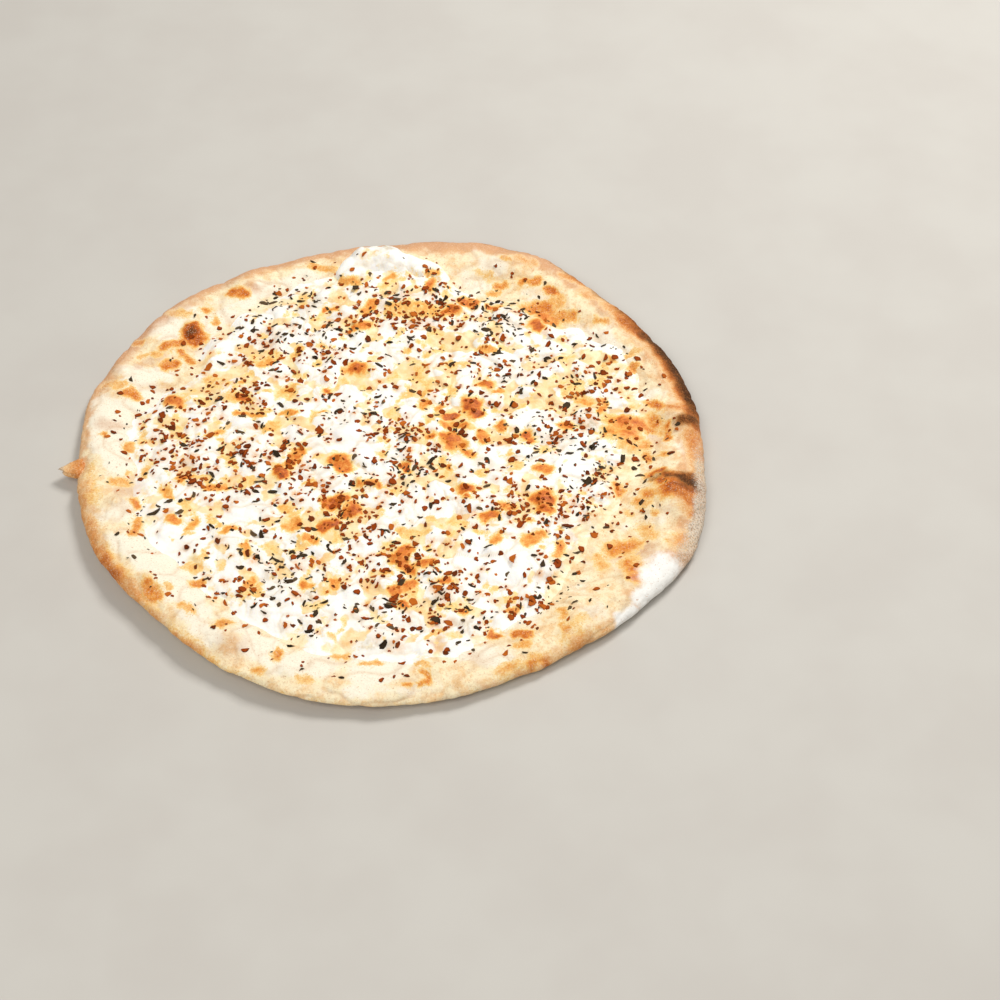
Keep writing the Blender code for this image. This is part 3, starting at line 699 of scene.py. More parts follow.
# %% Marks on the crust, and its mesh
under = np.clip(-up_part, 0, 1) * np.ones_like(crust_x)
crust_marks = oven_marks(crust_x, crust_y)
crust_marks["toast"] = crust_marks["toast"] * (1 - 0.6 * under)
crust_marks["rose"] = crust_marks["rose"] * (1 - under)
crust_marks["white"] = bare_whiteness(crust_x, crust_y) * np.clip(up_part, 0, 1)
crust_marks["tan"] = rim_tan(crust_x, crust_y) * (1 - 0.7 * under)
# The bottoms of the wrinkles get painted shade too
crust_marks["line"] = np.maximum(crust_marks["line"], 0.85 * wrinkles_at(crust_x, crust_y, wall_z))
crust_marks["under"] = under
rings = len(profile)
crust_points = np.stack([crust_x, crust_y, crust_z], -1).reshape(-1, 3)
top_pole, low_pole = rings * SPOKES, rings * SPOKES + 1
poles = np.array([[0, 0, float(crust_z[0].mean())], [0, 0, 0]])
crust_marks = {mark: np.append(values.ravel(), [values[0].mean(), values[-1].mean()])
               for mark, values in crust_marks.items()}
first_ring, last_ring = np.arange(SPOKES), (rings - 1) * SPOKES + np.arange(SPOKES)
crust = make_piece("crust", np.concatenate([crust_points, poles]),
                   [ring_faces(rings, SPOKES), fan_faces(first_ring, top_pole, False),
                    fan_faces(last_ring, low_pole, True)], crust_marks)

# %% [markdown]
# ## The melted cheese
#
# The cheese went on as torn white curds. In the oven it ran together: the curds stayed as soft white lumps
# and the fat around them turned creamy yellow. The sheet is a height above the dough at each place. A square
# grid pressed into a circle gives points that lie evenly apart, which a fan of spokes can't do. At its edge
# the sheet dips just below the dough's skin, so it seems to melt into the crust.

# %% The cheese's reach and its curds, as in the solid
CHEESE_REACH = 118 * MM
# Bulges of the cheese's edge, like those of the dough's
CHEESE_EDGE_BULGES = (
    (24, 18, 9.5), (67, 11, -4.0), (83, 6, 7.5), (95, 9, 18), (112, 9, 6), (130, 8, 2.5), (152, 9, -8),
    (174, 9, 6), (205, 8, 2.5), (224, 14, -5.5), (277, 17, 6), (332, 23, -12.5),
)
# Waves of the edge: how many round the sheet, and their height in mm
CHEESE_EDGE_WAVES = ((13, 0.9), (22, 1.1), (37, 0.8))
CHEESE_FILM = 1.2 * MM
TOUCH_GAP = 0.35 * MM
EDGE_DIP = 0.35 * MM
CURDS = 230
CURD_RADII = (5.5 * MM, 10.5 * MM)
CURD_HEIGHTS = (0.9 * MM, 2.1 * MM)
# Curds of the spoonfuls on the back rim: x and y of the middle, radius and height in mm
RIM_CURDS = (
    (-14, 130, 10, 6.0), (-8.5, 130, 9.5, 5.9), (-22, 121, 9, 3.2), (-2, 126, 7.5, 3.0), (12, 126, 9, 3.4),
    (23, 123, 8, 2.6),
)
SPOONFUL_OVERHANG = ((100, 4, 3.5),)
GOLDEN_ANGLE = math.pi * (3 - math.sqrt(5))


def cheese_reach(angle):
    """How far the cheese runs out: a circle, its bulges and a few even waves."""
    reach = CHEESE_REACH + bulges_at(angle, CHEESE_EDGE_BULGES, MM)
    for turns, height in CHEESE_EDGE_WAVES:
        reach += height * MM * np.sin(turns * angle + turns)
    return reach


def sheet_reach(angle):
    """The cheese's reach, and a little more where the first spoonful hangs over the rim."""
    return cheese_reach(angle) + bulges_at(angle, SPOONFUL_OVERHANG, MM)


def golden_spiral(count, reach):
    """Evenly spread places: radius = reach * sqrt((k + 0.5) / count), angle = k * golden angle."""
    k = np.arange(count)
    radius = reach * np.sqrt((k + 0.5) / count)
    return radius * np.cos(k * GOLDEN_ANGLE), radius * np.sin(k * GOLDEN_ANGLE)


def curd_domes():
    """The curds: unevenly sized domes, nudged off an even spread, with the solid's own random draw."""
    rng = random.Random(11)
    domes = []
    for x, y in zip(*golden_spiral(CURDS, CHEESE_REACH)):
        radius = rng.uniform(*CURD_RADII)
        height = rng.uniform(*CURD_HEIGHTS)
        nudge = 0.5 * radius
        domes.append((x + rng.uniform(-nudge, nudge), y + rng.uniform(-nudge, nudge), radius, height))
    return domes


curds = curd_domes()
print(len(curds), "curds")

# %% Finer lumps, and the surface of the cheese
LUMPS = 700
lump_rng = np.random.RandomState(8)
lump_x, lump_y = golden_spiral(LUMPS, CHEESE_REACH + 6 * MM)
lump_radius = lump_rng.uniform(2.0 * MM, 5.0 * MM, LUMPS)
lump_x = lump_x + lump_rng.normal(0, 2.4 * MM, LUMPS)
lump_y = lump_y + lump_rng.normal(0, 2.4 * MM, LUMPS)
lump_height = lump_radius * lump_rng.uniform(0.08, 0.22, LUMPS)
lumps = list(zip(lump_x, lump_y, lump_radius, lump_height))
# Spots of the toast that rose as blisters: where they are seen, radius and height in mm
CHEESE_BLISTERS = (
    (193, 331, 6.2, 1.5), (240, 292, 5.2, 0.8), (358, 370, 5.2, 1.2), (473, 410, 6.2, 1.2),
    (454, 442, 6.4, 1.0), (340, 464, 5.6, 0.7), (543, 317, 6.4, 0.8), (281, 474, 4.6, 1.2),
    (487, 385, 4.0, 0.9), (174, 402, 5.0, 0.8), (329, 527, 5.4, 0.8), (543, 504, 7.0, 0.9),
    (281, 592, 7.0, 1.3), (410, 262, 7.5, 1.2), (540, 570, 9.0, 0.8),
)
blisters = [(*seen_at(across, down), radius * MM, height * MM)
            for across, down, radius, height in CHEESE_BLISTERS]
print(len(lumps), "lumps and", len(blisters), "blisters on the cheese")


def cheese_depths(x, y):
    """The parts of the cheese's depth: the curds, the lumps on them, and the creases between."""
    bent_x, bent_y = shaken(x, y, 2.4 * MM, 9 * MM, seed=60)
    curd = domes_at(bent_x, bent_y, curds)
    fine = domes_at(bent_x, bent_y, lumps)
    crease = thin_lines(bent_x, bent_y, np.zeros_like(x), 16 * MM, seed=66, narrow=8)
    fold = thin_lines(bent_x, bent_y, np.zeros_like(x), 8 * MM, seed=67, narrow=5)
    folded = smooth_step(-0.1, 0.4, layered(x, y, 20 * MM, seed=68))
    return curd, fine, np.maximum(crease, 0.7 * fold * folded)


def sheet_share(x, y):
    """0 in the middle of the sheet and 1 on its edge."""
    return np.hypot(x, y) / sheet_reach(np.arctan2(y, x))


def cheese_edge(x, y):
    """1 on the cheese, falling to 0 at its edge."""
    return 1 - smooth_step(0.90, 0.995, sheet_share(x, y))


def spoonfuls_at(x, y):
    """Height of the spoonfuls on the back rim: ragged domes with wrinkled tops, 0 at the cheese's edge."""
    domes = domes_at(*shaken(x, y, 1.6 * MM, 6 * MM, seed=75), np.array(RIM_CURDS) * MM, power=0.5)
    wrinkled = domes * (0.92 + 0.14 * layered(x, y, 4 * MM, seed=76))
    return wrinkled * (1 - smooth_step(0.975, 0.998, sheet_share(x, y)))


def cheese_top(x, y):
    """Height of the finished cheese: the dough's skin, film, curds, lumps and blisters, less the creases."""
    curd, fine, crease = cheese_depths(x, y)
    inside = cheese_edge(x, y)
    grain = 0.10 * MM * unevenness(x, y, np.zeros_like(x), 2.6 * MM, seed=70)
    depth = TOUCH_GAP + CHEESE_FILM + curd + 1.1 * fine - 0.6 * MM * crease + grain
    skin = crust_relief(x, y, np.zeros_like(x)) * (1 - 0.6 * inside)
    sheet = dough_top(x, y) + skin + inside * depth - EDGE_DIP * (1 - inside)
    return sheet + spoonfuls_at(x, y) + domes_at(x, y, blisters)


# %% Press a square grid into a circle
GRID = 290


def square_to_disc(u, v):
    """A square's (u, v) on a disc: the longer side is the radius, 45 degrees * the sides' ratio the angle."""
    wide = np.abs(u) >= np.abs(v)
    radius = np.where(wide, u, v)
    other = np.where(wide, v, u)
    share = np.divide(other, radius, out=np.zeros_like(radius), where=radius != 0)
    angle = np.where(wide, share * np.pi / 4, np.pi / 2 - share * np.pi / 4)
    return radius * np.cos(angle), radius * np.sin(angle)


sides = np.linspace(-1, 1, GRID + 1)
disc_x, disc_y = square_to_disc(*np.meshgrid(sides, sides, indexing="ij"))
reach = sheet_reach(np.arctan2(disc_y, disc_x))
sheet_x, sheet_y = disc_x * reach, disc_y * reach
sheet_z = cheese_top(sheet_x, sheet_y)
apart = math.sqrt(math.pi) * CHEESE_REACH / GRID
print("cheese stands up to", round(float(sheet_z.max() / MM), 1), "mm")
print("its points lie", round(apart / MM, 2), "mm apart")

# %% [markdown]
# ## Drifts of flakes
#
# The flakes were thrown on by hand, so they lie in drifts with gaps between. A drift is a centre, a spread
# and a number of flakes. Each kind also has a thin even cover. The largest flakes lie where the solid has
# them, and the largest leaves of the herb are laid one by one where they are seen.
# The places are drawn first, because every chilli flake leaves a halo of orange oil in the cheese.

# %% Drifts: where they are seen, their spread in mm and their number
CHILLI_DRIFTS = (
    (400, 312, 8.5, 30), (425, 308, 8, 26), (452, 308, 7, 22), (415, 328, 7, 18), (370, 322, 6, 18),
    (186, 440, 5, 22), (180, 462, 6, 18), (188, 480, 5, 22), (163, 432, 4, 10), (145, 460, 5, 10),
    (225, 488, 7, 18), (250, 458, 6, 20), (292, 458, 6, 26), (245, 390, 6, 14), (250, 408, 5, 14),
    (205, 390, 5, 12), (210, 408, 5, 12), (150, 405, 8, 12), (310, 490, 7, 18), (335, 504, 6, 24),
    (352, 516, 6, 16), (370, 530, 7, 16), (385, 428, 6, 16), (408, 432, 5, 16), (428, 460, 5, 10),
    (510, 484, 6, 8), (510, 508, 6, 12), (543, 502, 7, 24), (572, 512, 6, 18), (530, 520, 6, 16),
    (405, 556, 6.5, 20), (425, 566, 5, 12), (400, 590, 6, 12), (442, 584, 4, 14), (466, 584, 4, 8),
    (590, 482, 6, 7), (585, 505, 5, 9), (612, 497, 5, 8), (632, 512, 6, 9), (568, 540, 6, 8),
    (600, 382, 7, 24), (585, 398, 8, 12), (560, 425, 6, 20), (612, 420, 8, 10), (500, 440, 8, 10),
    (475, 395, 9, 12), (450, 388, 5, 8), (300, 365, 8, 18), (315, 350, 7, 12), (250, 360, 9, 12),
    (360, 555, 6, 14), (372, 565, 5, 10), (350, 575, 7, 10), (225, 588, 5, 8), (250, 588, 5, 6),
    (455, 612, 7, 10), (425, 612, 7, 8), (400, 628, 8, 14), (505, 618, 8, 14), (545, 615, 8, 12),
    (490, 345, 10, 14), (570, 350, 10, 14), (440, 345, 9, 10), (345, 330, 7, 10), (270, 345, 9, 12),
)
HERB_DRIFTS = (
    (270, 303, 4, 14), (300, 300, 6, 16), (330, 330, 7, 24), (345, 345, 8, 14), (290, 335, 7, 14),
    (258, 320, 7, 10), (355, 290, 5, 8), (395, 300, 4, 10), (443, 302, 4, 12), (490, 325, 7, 30),
    (515, 312, 6, 16), (475, 310, 6, 12), (525, 322, 5, 10), (248, 420, 6, 8), (255, 480, 7, 12),
    (230, 445, 6, 8), (300, 560, 7, 26), (275, 560, 6, 16), (270, 588, 5, 14), (290, 580, 4, 8),
    (312, 600, 5, 14), (312, 635, 4, 8), (345, 480, 6, 14), (380, 475, 6, 12), (415, 478, 6, 18),
    (430, 465, 4, 8), (400, 448, 5, 8), (340, 410, 8, 12), (370, 410, 6, 10), (545, 440, 7, 34),
    (570, 448, 7, 24), (575, 420, 8, 14), (598, 465, 6, 16), (590, 485, 6, 14), (612, 440, 8, 10),
    (515, 385, 6, 10), (510, 408, 5, 8), (590, 355, 9, 14), (560, 372, 9, 12), (440, 596, 6, 18),
    (470, 610, 6, 18), (390, 607, 4, 8), (380, 628, 6, 8), (552, 582, 5, 12), (545, 602, 6, 10),
    (572, 604, 5, 8), (425, 580, 5, 6), (395, 540, 5, 6), (420, 345, 9, 10), (235, 560, 8, 12),
    (205, 605, 7, 6), (150, 520, 8, 8), (665, 462, 6, 10), (640, 500, 7, 8), (500, 350, 9, 10),
)
# Leaves laid one by one: where they are seen, their length in mm and their turn in degrees
HERB_LEAVES = (
    (263, 302, 5.2, 0), (273, 302, 4.6, 10), (275, 309, 3.2, 20), (256, 317, 3.0, -20), (195, 315, 3.2, 80),
    (243, 330, 3.6, 80), (275, 328, 3.6, 30), (290, 327, 4.2, 55), (292, 337, 4.0, 10), (278, 337, 3.2, 0),
    (262, 352, 3.6, 20), (276, 365, 3.8, 12), (280, 374, 3.2, 10), (237, 384, 3.6, 85), (301, 343, 2.4, 30),
    (300, 302, 4.2, 0), (305, 294, 3.4, 40), (297, 290, 2.6, -20), (328, 328, 4.6, 70), (337, 331, 4.8, 5),
    (350, 336, 4.2, 0), (357, 290, 7.0, 28), (360, 297, 3.4, 60), (396, 301, 6.4, 0), (396, 296, 3.6, 20),
    (412, 292, 2.6, 80), (417, 302, 3.4, -60), (445, 300, 6.0, 65), (440, 303, 4.0, 70),
    (428, 330, 4.4, 70), (458, 291, 3.6, 8), (388, 357, 4.6, -50), (413, 366, 3.0, 12), (318, 366, 3.2, 32),
    (390, 345, 3.2, 10), (353, 350, 4.0, 0), (498, 301, 4.4, 50), (513, 303, 3.8, 15), (508, 312, 4.0, -15),
    (526, 319, 3.6, 50), (477, 309, 3.8, 60), (490, 322, 3.4, 20), (487, 331, 5.2, -12),
    (500, 350, 2.6, 50), (532, 353, 4.6, 85), (513, 363, 3.4, 0), (532, 376, 2.8, 70), (539, 297, 2.6, -60),
    (597, 336, 3.0, -60), (589, 339, 2.6, 65), (624, 346, 2.8, -40), (473, 365, 3.8, 0), (577, 385, 4.2, 0),
    (572, 378, 2.6, -60), (645, 391, 2.8, 35), (623, 462, 5.2, 80), (637, 458, 2.8, 0), (645, 482, 4.2, 50),
    (640, 474, 4.6, 3), (598, 465, 3.2, -20), (602, 469, 4.0, 0), (583, 461, 2.8, 0), (586, 483, 5.0, -15),
    (593, 487, 3.2, -10), (570, 455, 3.6, 0), (573, 441, 3.0, 0), (578, 503, 3.0, 90), (588, 511, 2.8, 55),
    (606, 526, 4.6, 5), (646, 518, 2.8, 75), (577, 516, 3.0, 60), (586, 520, 3.8, 3), (577, 553, 3.6, 10),
    (575, 572, 3.8, 20), (583, 580, 2.6, 0), (391, 607, 5.0, 10), (386, 603, 3.2, -30), (384, 615, 2.6, 0),
    (434, 604, 4.8, 60), (448, 610, 3.4, 20), (467, 609, 3.4, -40), (473, 620, 2.6, 60),
    (462, 634, 3.6, 75), (422, 632, 2.6, 30), (459, 645, 2.8, 20), (391, 630, 5.2, -40), (535, 600, 4.2, 0),
    (550, 603, 2.6, 0), (575, 603, 3.0, 12), (525, 653, 3.0, 0), (207, 580, 3.6, -5), (290, 583, 5.0, 15),
    (272, 600, 3.8, 0), (254, 609, 4.2, 5), (264, 615, 3.0, -30), (304, 605, 3.8, 80), (325, 604, 3.8, 15),
    (316, 616, 4.2, 80), (309, 633, 4.6, 0), (357, 605, 2.2, 0), (372, 620, 2.6, 40), (388, 610, 4.4, 0),
    (153, 516, 7.2, 22), (180, 514, 4.6, 45), (131, 482, 2.4, 20), (166, 472, 2.8, 0), (220, 451, 4.6, 35),
    (226, 446, 3.0, 10), (242, 419, 4.8, -5), (259, 483, 6.0, 5), (262, 478, 4.0, 30), (273, 493, 5.6, -10),
    (242, 494, 3.6, 80), (256, 503, 3.6, 20), (228, 424, 3.6, 55), (211, 482, 4.2, 65), (194, 497, 3.2, 85),
    (158, 509, 2.8, -40), (182, 540, 2.6, 60), (207, 560, 3.2, 45), (229, 549, 2.8, 80),
    (239, 552, 3.4, -20), (240, 569, 3.6, -10), (258, 423, 3.8, 0), (262, 427, 3.0, 70),
    (261, 457, 3.0, 80), (287, 443, 4.6, 45), (233, 459, 3.4, 20), (323, 399, 3.4, -60),
    (339, 411, 4.8, 15), (323, 419, 3.0, 0), (378, 399, 4.2, 15), (398, 411, 3.6, 5), (402, 452, 4.0, 10),
    (398, 445, 2.6, 60), (388, 465, 2.8, 50), (415, 468, 4.2, 70), (422, 471, 3.0, 0), (351, 485, 4.4, 50),
    (292, 501, 3.4, -45), (342, 517, 3.0, 60), (413, 482, 3.2, 30), (512, 404, 4.6, 75),
    (533, 385, 3.8, 60), (482, 466, 4.6, -10), (431, 462, 4.8, 65), (486, 487, 4.4, 0), (545, 454, 2.8, 0),
    (536, 455, 3.4, 35), (560, 473, 3.8, 85), (395, 543, 4.6, 5), (413, 538, 2.8, 15), (420, 518, 2.8, 0),
    (428, 577, 3.8, 18), (433, 586, 3.8, 12), (492, 512, 3.4, 75), (463, 531, 3.4, -60), (534, 558, 4.0, 0),
    (393, 506, 3.8, 0), (555, 563, 2.8, -10), (278, 523, 4.2, 30), (253, 535, 4.4, -45),
    (305, 530, 3.6, 12), (293, 543, 2.8, -30), (291, 554, 4.6, 60), (303, 557, 4.6, 12),
    (278, 562, 4.8, -15), (262, 565, 3.2, 25), (330, 553, 3.2, -45), (272, 590, 3.8, 25),
    (430, 330, 3.4, 80), (300, 330, 3.0, 70), (478, 291, 3.0, 40), (483, 301, 2.2, 0),
)
TOPPING_MARGIN = 5 * MM
LARGE_CHILLI, LARGE_HERBS = 95, 70
EVEN_CHILLI, EVEN_CRUMBS, EVEN_HERBS, EVEN_SPECKS = 880, 340, 90, 240
CRUST_CHILLI, CRUST_HERBS = 5, 7
STAYED_ON_CRUST = 0.45
drifted = sum(count for *_, count in CHILLI_DRIFTS)
print(drifted, "chilli flakes in drifts,", len(HERB_LEAVES), "leaves by hand")

# %% Places of the flakes
def large_places(count, first):
    """The solid's even spread of its largest flakes on the cheese: the golden spiral turned by first."""
    x, y = golden_spiral(count, CHEESE_REACH - TOPPING_MARGIN)
    turned = (x + 1j * y) * np.exp(1j * first)
    kept = turned[np.abs(turned) < cheese_reach(np.angle(turned)) - TOPPING_MARGIN]
    order = list(range(len(kept)))
    random.Random(count).shuffle(order)
    return kept[order]


def rim_places(count, first):
    """The solid's places on the bare rim, halfway between the cheese and the edge."""
    angle = first + np.arange(count) * 2 * np.pi / count
    inner, outer = cheese_reach(angle) + 5 * MM, edge_reach(angle) - 6 * MM
    return ((inner + outer) / 2 * np.exp(1j * angle))[outer > inner]


def drifted_places(drifts, even, rng, share=1.0):
    """Places from every drift, drawn with a bell curve, and an even cover of the whole top."""
    parts = []
    for across, down, spread, count in drifts:
        many = max(1, round(count * share))
        scatter = 1.05 * (spread * MM)
        centre = complex(*seen_at(across, down))
        parts.append(centre + rng.normal(0, scatter, many) + 1j * rng.normal(0, scatter, many))
    radius = 0.93 * BREAD_RADIUS * np.sqrt(rng.uniform(0, 1, even)) ** 1.15
    parts.append(radius * np.exp(1j * rng.uniform(0, 2 * np.pi, even)))
    places = np.concatenate(parts)
    on_cheese = np.abs(places) < cheese_reach(np.angle(places))
    stayed = on_cheese | (rng.uniform(0, 1, len(places)) < STAYED_ON_CRUST)
    return places[stayed & (rim_share(places.real, places.imag) < 0.95)]


def sized(rng, many, low, high, skew):
    """Lengths between low and high, most of them near low where skew is above 1."""
    return low + (high - low) * rng.uniform(0, 1, many) ** skew


flake_rng = np.random.RandomState(33)
chilli_large = np.concatenate([large_places(LARGE_CHILLI, 0.0), rim_places(CRUST_CHILLI, 0.35)])
chilli_small = drifted_places(CHILLI_DRIFTS, EVEN_CHILLI, flake_rng)
chilli_crumbs = drifted_places(CHILLI_DRIFTS, EVEN_CRUMBS, flake_rng, share=0.4)
chilli_places = np.concatenate([chilli_large, chilli_small, chilli_crumbs])
chilli_length = np.concatenate([np.linspace(4.8, 2.8, len(chilli_large)) * MM,
                                sized(flake_rng, len(chilli_small), 1.6 * MM, 3.6 * MM, 1.7),
                                sized(flake_rng, len(chilli_crumbs), 1.0 * MM, 1.8 * MM, 1.0)])

herb_leaves = np.array([complex(*seen_at(across, down)) for across, down, _, _ in HERB_LEAVES])
herb_large = np.concatenate([large_places(LARGE_HERBS, 1.0), rim_places(CRUST_HERBS, 0.1)])
herb_small = drifted_places(HERB_DRIFTS, EVEN_HERBS, flake_rng, share=0.65)
specks = drifted_places(HERB_DRIFTS, EVEN_SPECKS, flake_rng, share=0.38)
herb_places = np.concatenate([herb_leaves, herb_large, herb_small, specks])
leaf_length = np.array([length for _, _, length, _ in HERB_LEAVES]) * MM
herb_length = np.concatenate([leaf_length, np.linspace(5.2, 3.0, len(herb_large)) * MM,
                              sized(flake_rng, len(herb_small), 1.4 * MM, 3.4 * MM, 1.4),
                              sized(flake_rng, len(specks), 0.8 * MM, 1.7 * MM, 1.2)])
print(len(chilli_places), "chilli flakes and", len(herb_places), "herb flakes")

# %% [markdown]
# ## Marks on the cheese
#
# The sheet gets the oven marks and a few of its own: how white it is, how oily, how grey where herbs under it
# show through and where shade is painted round lumps, and how deep it lies in a crease, which gets painted
# shade. Near its edge it takes on the dough's whiteness.

# %% Marks on the cheese, and its mesh
def halos_at(x, y, places, radii, strengths):
    """Soft spots round the places: the strongest of strength * exp(-(distance / radius)^2)."""
    total = np.zeros_like(x)
    for place, radius, strength in zip(places, radii, strengths):
        reach = HALO_END * radius
        near = (np.abs(x - place.real) < reach) & (np.abs(y - place.imag) < reach)
        share = ((x[near] - place.real) ** 2 + (y[near] - place.imag) ** 2) / radius**2
        total[near] = np.maximum(total[near], strength * np.exp(-share))
    return total


def cheese_marks(x, y):
    """The masks at these places, each from 0 to 1."""
    curd, fine, crease = cheese_depths(x, y)
    ragged_x, ragged_y = shaken(x, y, 3.5 * MM, 9 * MM, seed=80)
    tall = (curd + 0.8 * fine) / MM
    butter = painted(ragged_x, ragged_y, BUTTERY, edge=0.6)
    drift = painted(ragged_x, ragged_y, CURDY, edge=0.6) - butter
    patchy = layered(x, y, 11 * MM, seed=84)
    white = smooth_step(-0.36, 0.66, 0.6 * tall + 0.8 * drift + 1.0 * patchy)
    gold = 0.30 * smooth_step(0.15, 0.9, layered(x, y, 8 * MM, seed=91) - 0.35 * drift - 0.25 * tall + 0.25)
    halo_rng = np.random.RandomState(4)
    many = len(chilli_places)
    radii = 0.5 * chilli_length + halo_rng.uniform(0.3 * MM, 1.5 * MM, many)
    strengths = halo_rng.uniform(0.0, 1.0, many) ** 2
    near_chilli = halos_at(*shaken(x, y, 0.8 * MM, 3 * MM, seed=94), chilli_places, radii, strengths)
    strengths = halo_rng.uniform(0, 0.35, len(herb_places))
    near_herb = halos_at(x, y, herb_places, 0.5 * herb_length + 0.5 * MM, strengths)
    oil = np.maximum(near_chilli, near_herb)
    # Grey where herbs show through, and painted shade round lumps and on the spoonfuls' upper edges
    herb_grey_and_shade = painted(ragged_x, ragged_y, GREY_HERB_AND_SHADE, edge=0.8) * smooth_step(-0.5, 0.4, patchy)
    inside = cheese_edge(x, y)
    marks = oven_marks(x, y)
    marks["toast"] = np.maximum(marks["toast"], gold * inside)
    share = np.hypot(x, y) / cheese_reach(np.arctan2(y, x))
    deep_inside = 1 - smooth_step(0.80, 0.99, share + 0.05 * patchy)
    lumpy = smooth_step(0.3 * MM, 1.2 * MM, spoonfuls_at(x, y))
    white = white * deep_inside + bare_whiteness(x, y) * (1 - deep_inside)
    marks["white"] = np.maximum(white, lumpy * (1 - 0.8 * butter))
    marks["oil"] = oil * inside
    marks["herb_grey_and_shade"] = herb_grey_and_shade * np.maximum(inside, lumpy)
    # Painted shade in the creases: a little on the line mark, and all of the fold mark
    marks["line"] = np.maximum(marks["line"], 0.25 * crease * inside)
    marks["fold"] = crease * inside
    marks["bare"] = (1 - deep_inside) * (1 - lumpy)
    marks["tan"] = rim_tan(x, y) * (1 - lumpy)
    marks["rose"] = marks["rose"] * (1 - lumpy)
    return marks


UNDERSIDE_RINGS = (0.998, 0.97, 0.9, 0.8, 0.6, 0.3)
SUNK = 0.9 * MM
top_count = sheet_x.size
index = np.arange(top_count).reshape(GRID + 1, GRID + 1)
sheet_faces = np.stack([index[:-1, :-1], index[1:, :-1], index[1:, 1:], index[:-1, 1:]], -1)
sheet_faces = sheet_faces.reshape(-1, 4)
border = np.concatenate([index[:-1, 0], index[-1, :-1], index[:0:-1, -1], index[0, :0:-1]])
edge_x, edge_y = sheet_x.ravel()[border], sheet_y.ravel()[border]
under_rings = []
for share in UNDERSIDE_RINGS:
    ring_x, ring_y = edge_x * share, edge_y * share
    under_rings.append(np.stack([ring_x, ring_y, dough_top(ring_x, ring_y) - SUNK], -1))
under_middle = np.array([[0, 0, DOUGH_THICKNESS - SUNK]])
sheet_points = np.stack([sheet_x, sheet_y, sheet_z], -1).reshape(-1, 3)
cheese_points = np.concatenate([sheet_points, *under_rings, under_middle])
loop = len(border)
below = top_count + np.arange(loop)
skirt = np.stack([border, below, np.roll(below, -1), np.roll(border, -1)], -1)
pole = len(cheese_points) - 1
marks = {name: np.concatenate([values.ravel(), np.tile(values.ravel()[border], len(under_rings)), [0]])
         for name, values in cheese_marks(sheet_x, sheet_y).items()}
under_faces = ring_faces(len(under_rings), loop, top_count)
middle_faces = fan_faces(pole - loop + np.arange(loop), pole, True)
cheese = make_piece("melted_cheese", cheese_points, [sheet_faces, skirt, under_faces, middle_faces], marks)

# %% [markdown]
# ## The flakes
#
# A crushed chilli flake is a stiff bit of skin: a small cupped chip with an uneven outline and a worn,
# lighter middle. A herb flake is a torn sliver of leaf, long and bent. Both are the same surface with other
# numbers: rings of nine points whose reach wavers with the angle, closed by a point above and one below. All
# flakes of a kind are worked out in one array and joined in one mesh.

# %% The surface that the chips lie on
def surface_frame(x, y):
    """Height and upward normal of what lies on top at each place, from the heights a step to each side."""
    step = 0.5 * MM

    def top(px, py):
        """The crust's height, or the cheese's where that is higher and reaches this far."""
        on_cheese = np.hypot(px, py) < 0.975 * cheese_reach(np.arctan2(py, px))
        return np.where(on_cheese, np.maximum(cheese_top(px, py), crust_top(px, py)), crust_top(px, py))

    height = top(x, y)
    slope_x = (top(x + step, y) - top(x - step, y)) / (2 * step)
    slope_y = (top(x, y + step) - top(x, y - step)) / (2 * step)
    normal = np.stack([-slope_x, -slope_y, np.ones_like(x)], -1)
    return height, normal / np.linalg.norm(normal, axis=-1, keepdims=True)


# %% A chip for every place, in one array
AROUND = 9
# Share of the outline and share of the thickness: lower ring, outline, upper ring
CHIP_RINGS = ((0.70, -0.5), (1.0, -0.05), (0.80, 0.5))
CHIP_ENDS = (-0.6, 0.35)
# Random parts of outline, thickness and tilt, how far a chip is raised, and how worn its upper ring is
RING_WAVER, LEVEL_WAVER, TILT, RAISED, UPPER_WEAR = 0.10, 0.15, 0.10, 0.15, 0.6


def scaled(vectors):
    """The vectors at length 1."""
    return vectors / np.linalg.norm(vectors, axis=-1, keepdims=True)


def chip_shapes(rng, lengths, widths, thicknesses, wobble, bend):
    """Every chip's points round its middle: size * (1 + wobble * random), bent by bend * x^2 / length."""
    many = len(lengths)
    lengths, widths, thicknesses = [sizes[:, None, None] for sizes in (lengths, widths, thicknesses)]
    around = np.linspace(0, 2 * np.pi, AROUND, endpoint=False)
    outline = 1 + wobble * rng.uniform(-1, 1, (many, 1, AROUND))
    share, level = [np.array(column)[None, :, None] for column in zip(*CHIP_RINGS)]
    spread = share * outline * (1 + RING_WAVER * rng.uniform(-1, 1, (many, len(CHIP_RINGS), AROUND)))
    x = spread * np.cos(around) * (lengths / 2)
    y = spread * np.sin(around) * (widths / 2)
    z = level * np.ones_like(x) * thicknesses
    z += rng.uniform(-LEVEL_WAVER, LEVEL_WAVER, z.shape) * thicknesses
    ends = np.zeros((many, 2, 3))
    ends[..., 2] = np.array(CHIP_ENDS) * thicknesses[..., 0]
    local = np.concatenate([np.stack([x, y, z], -1).reshape(many, -1, 3), ends], axis=1)
    lengths, bend = lengths[..., 0], bend[:, None]
    local[..., 2] += 0.5 * bend * (local[..., 0] ** 2 - (lengths / 3) ** 2) / lengths
    local[..., 1] += 1.3 * bend * local[..., 0] ** 2 / lengths
    return local


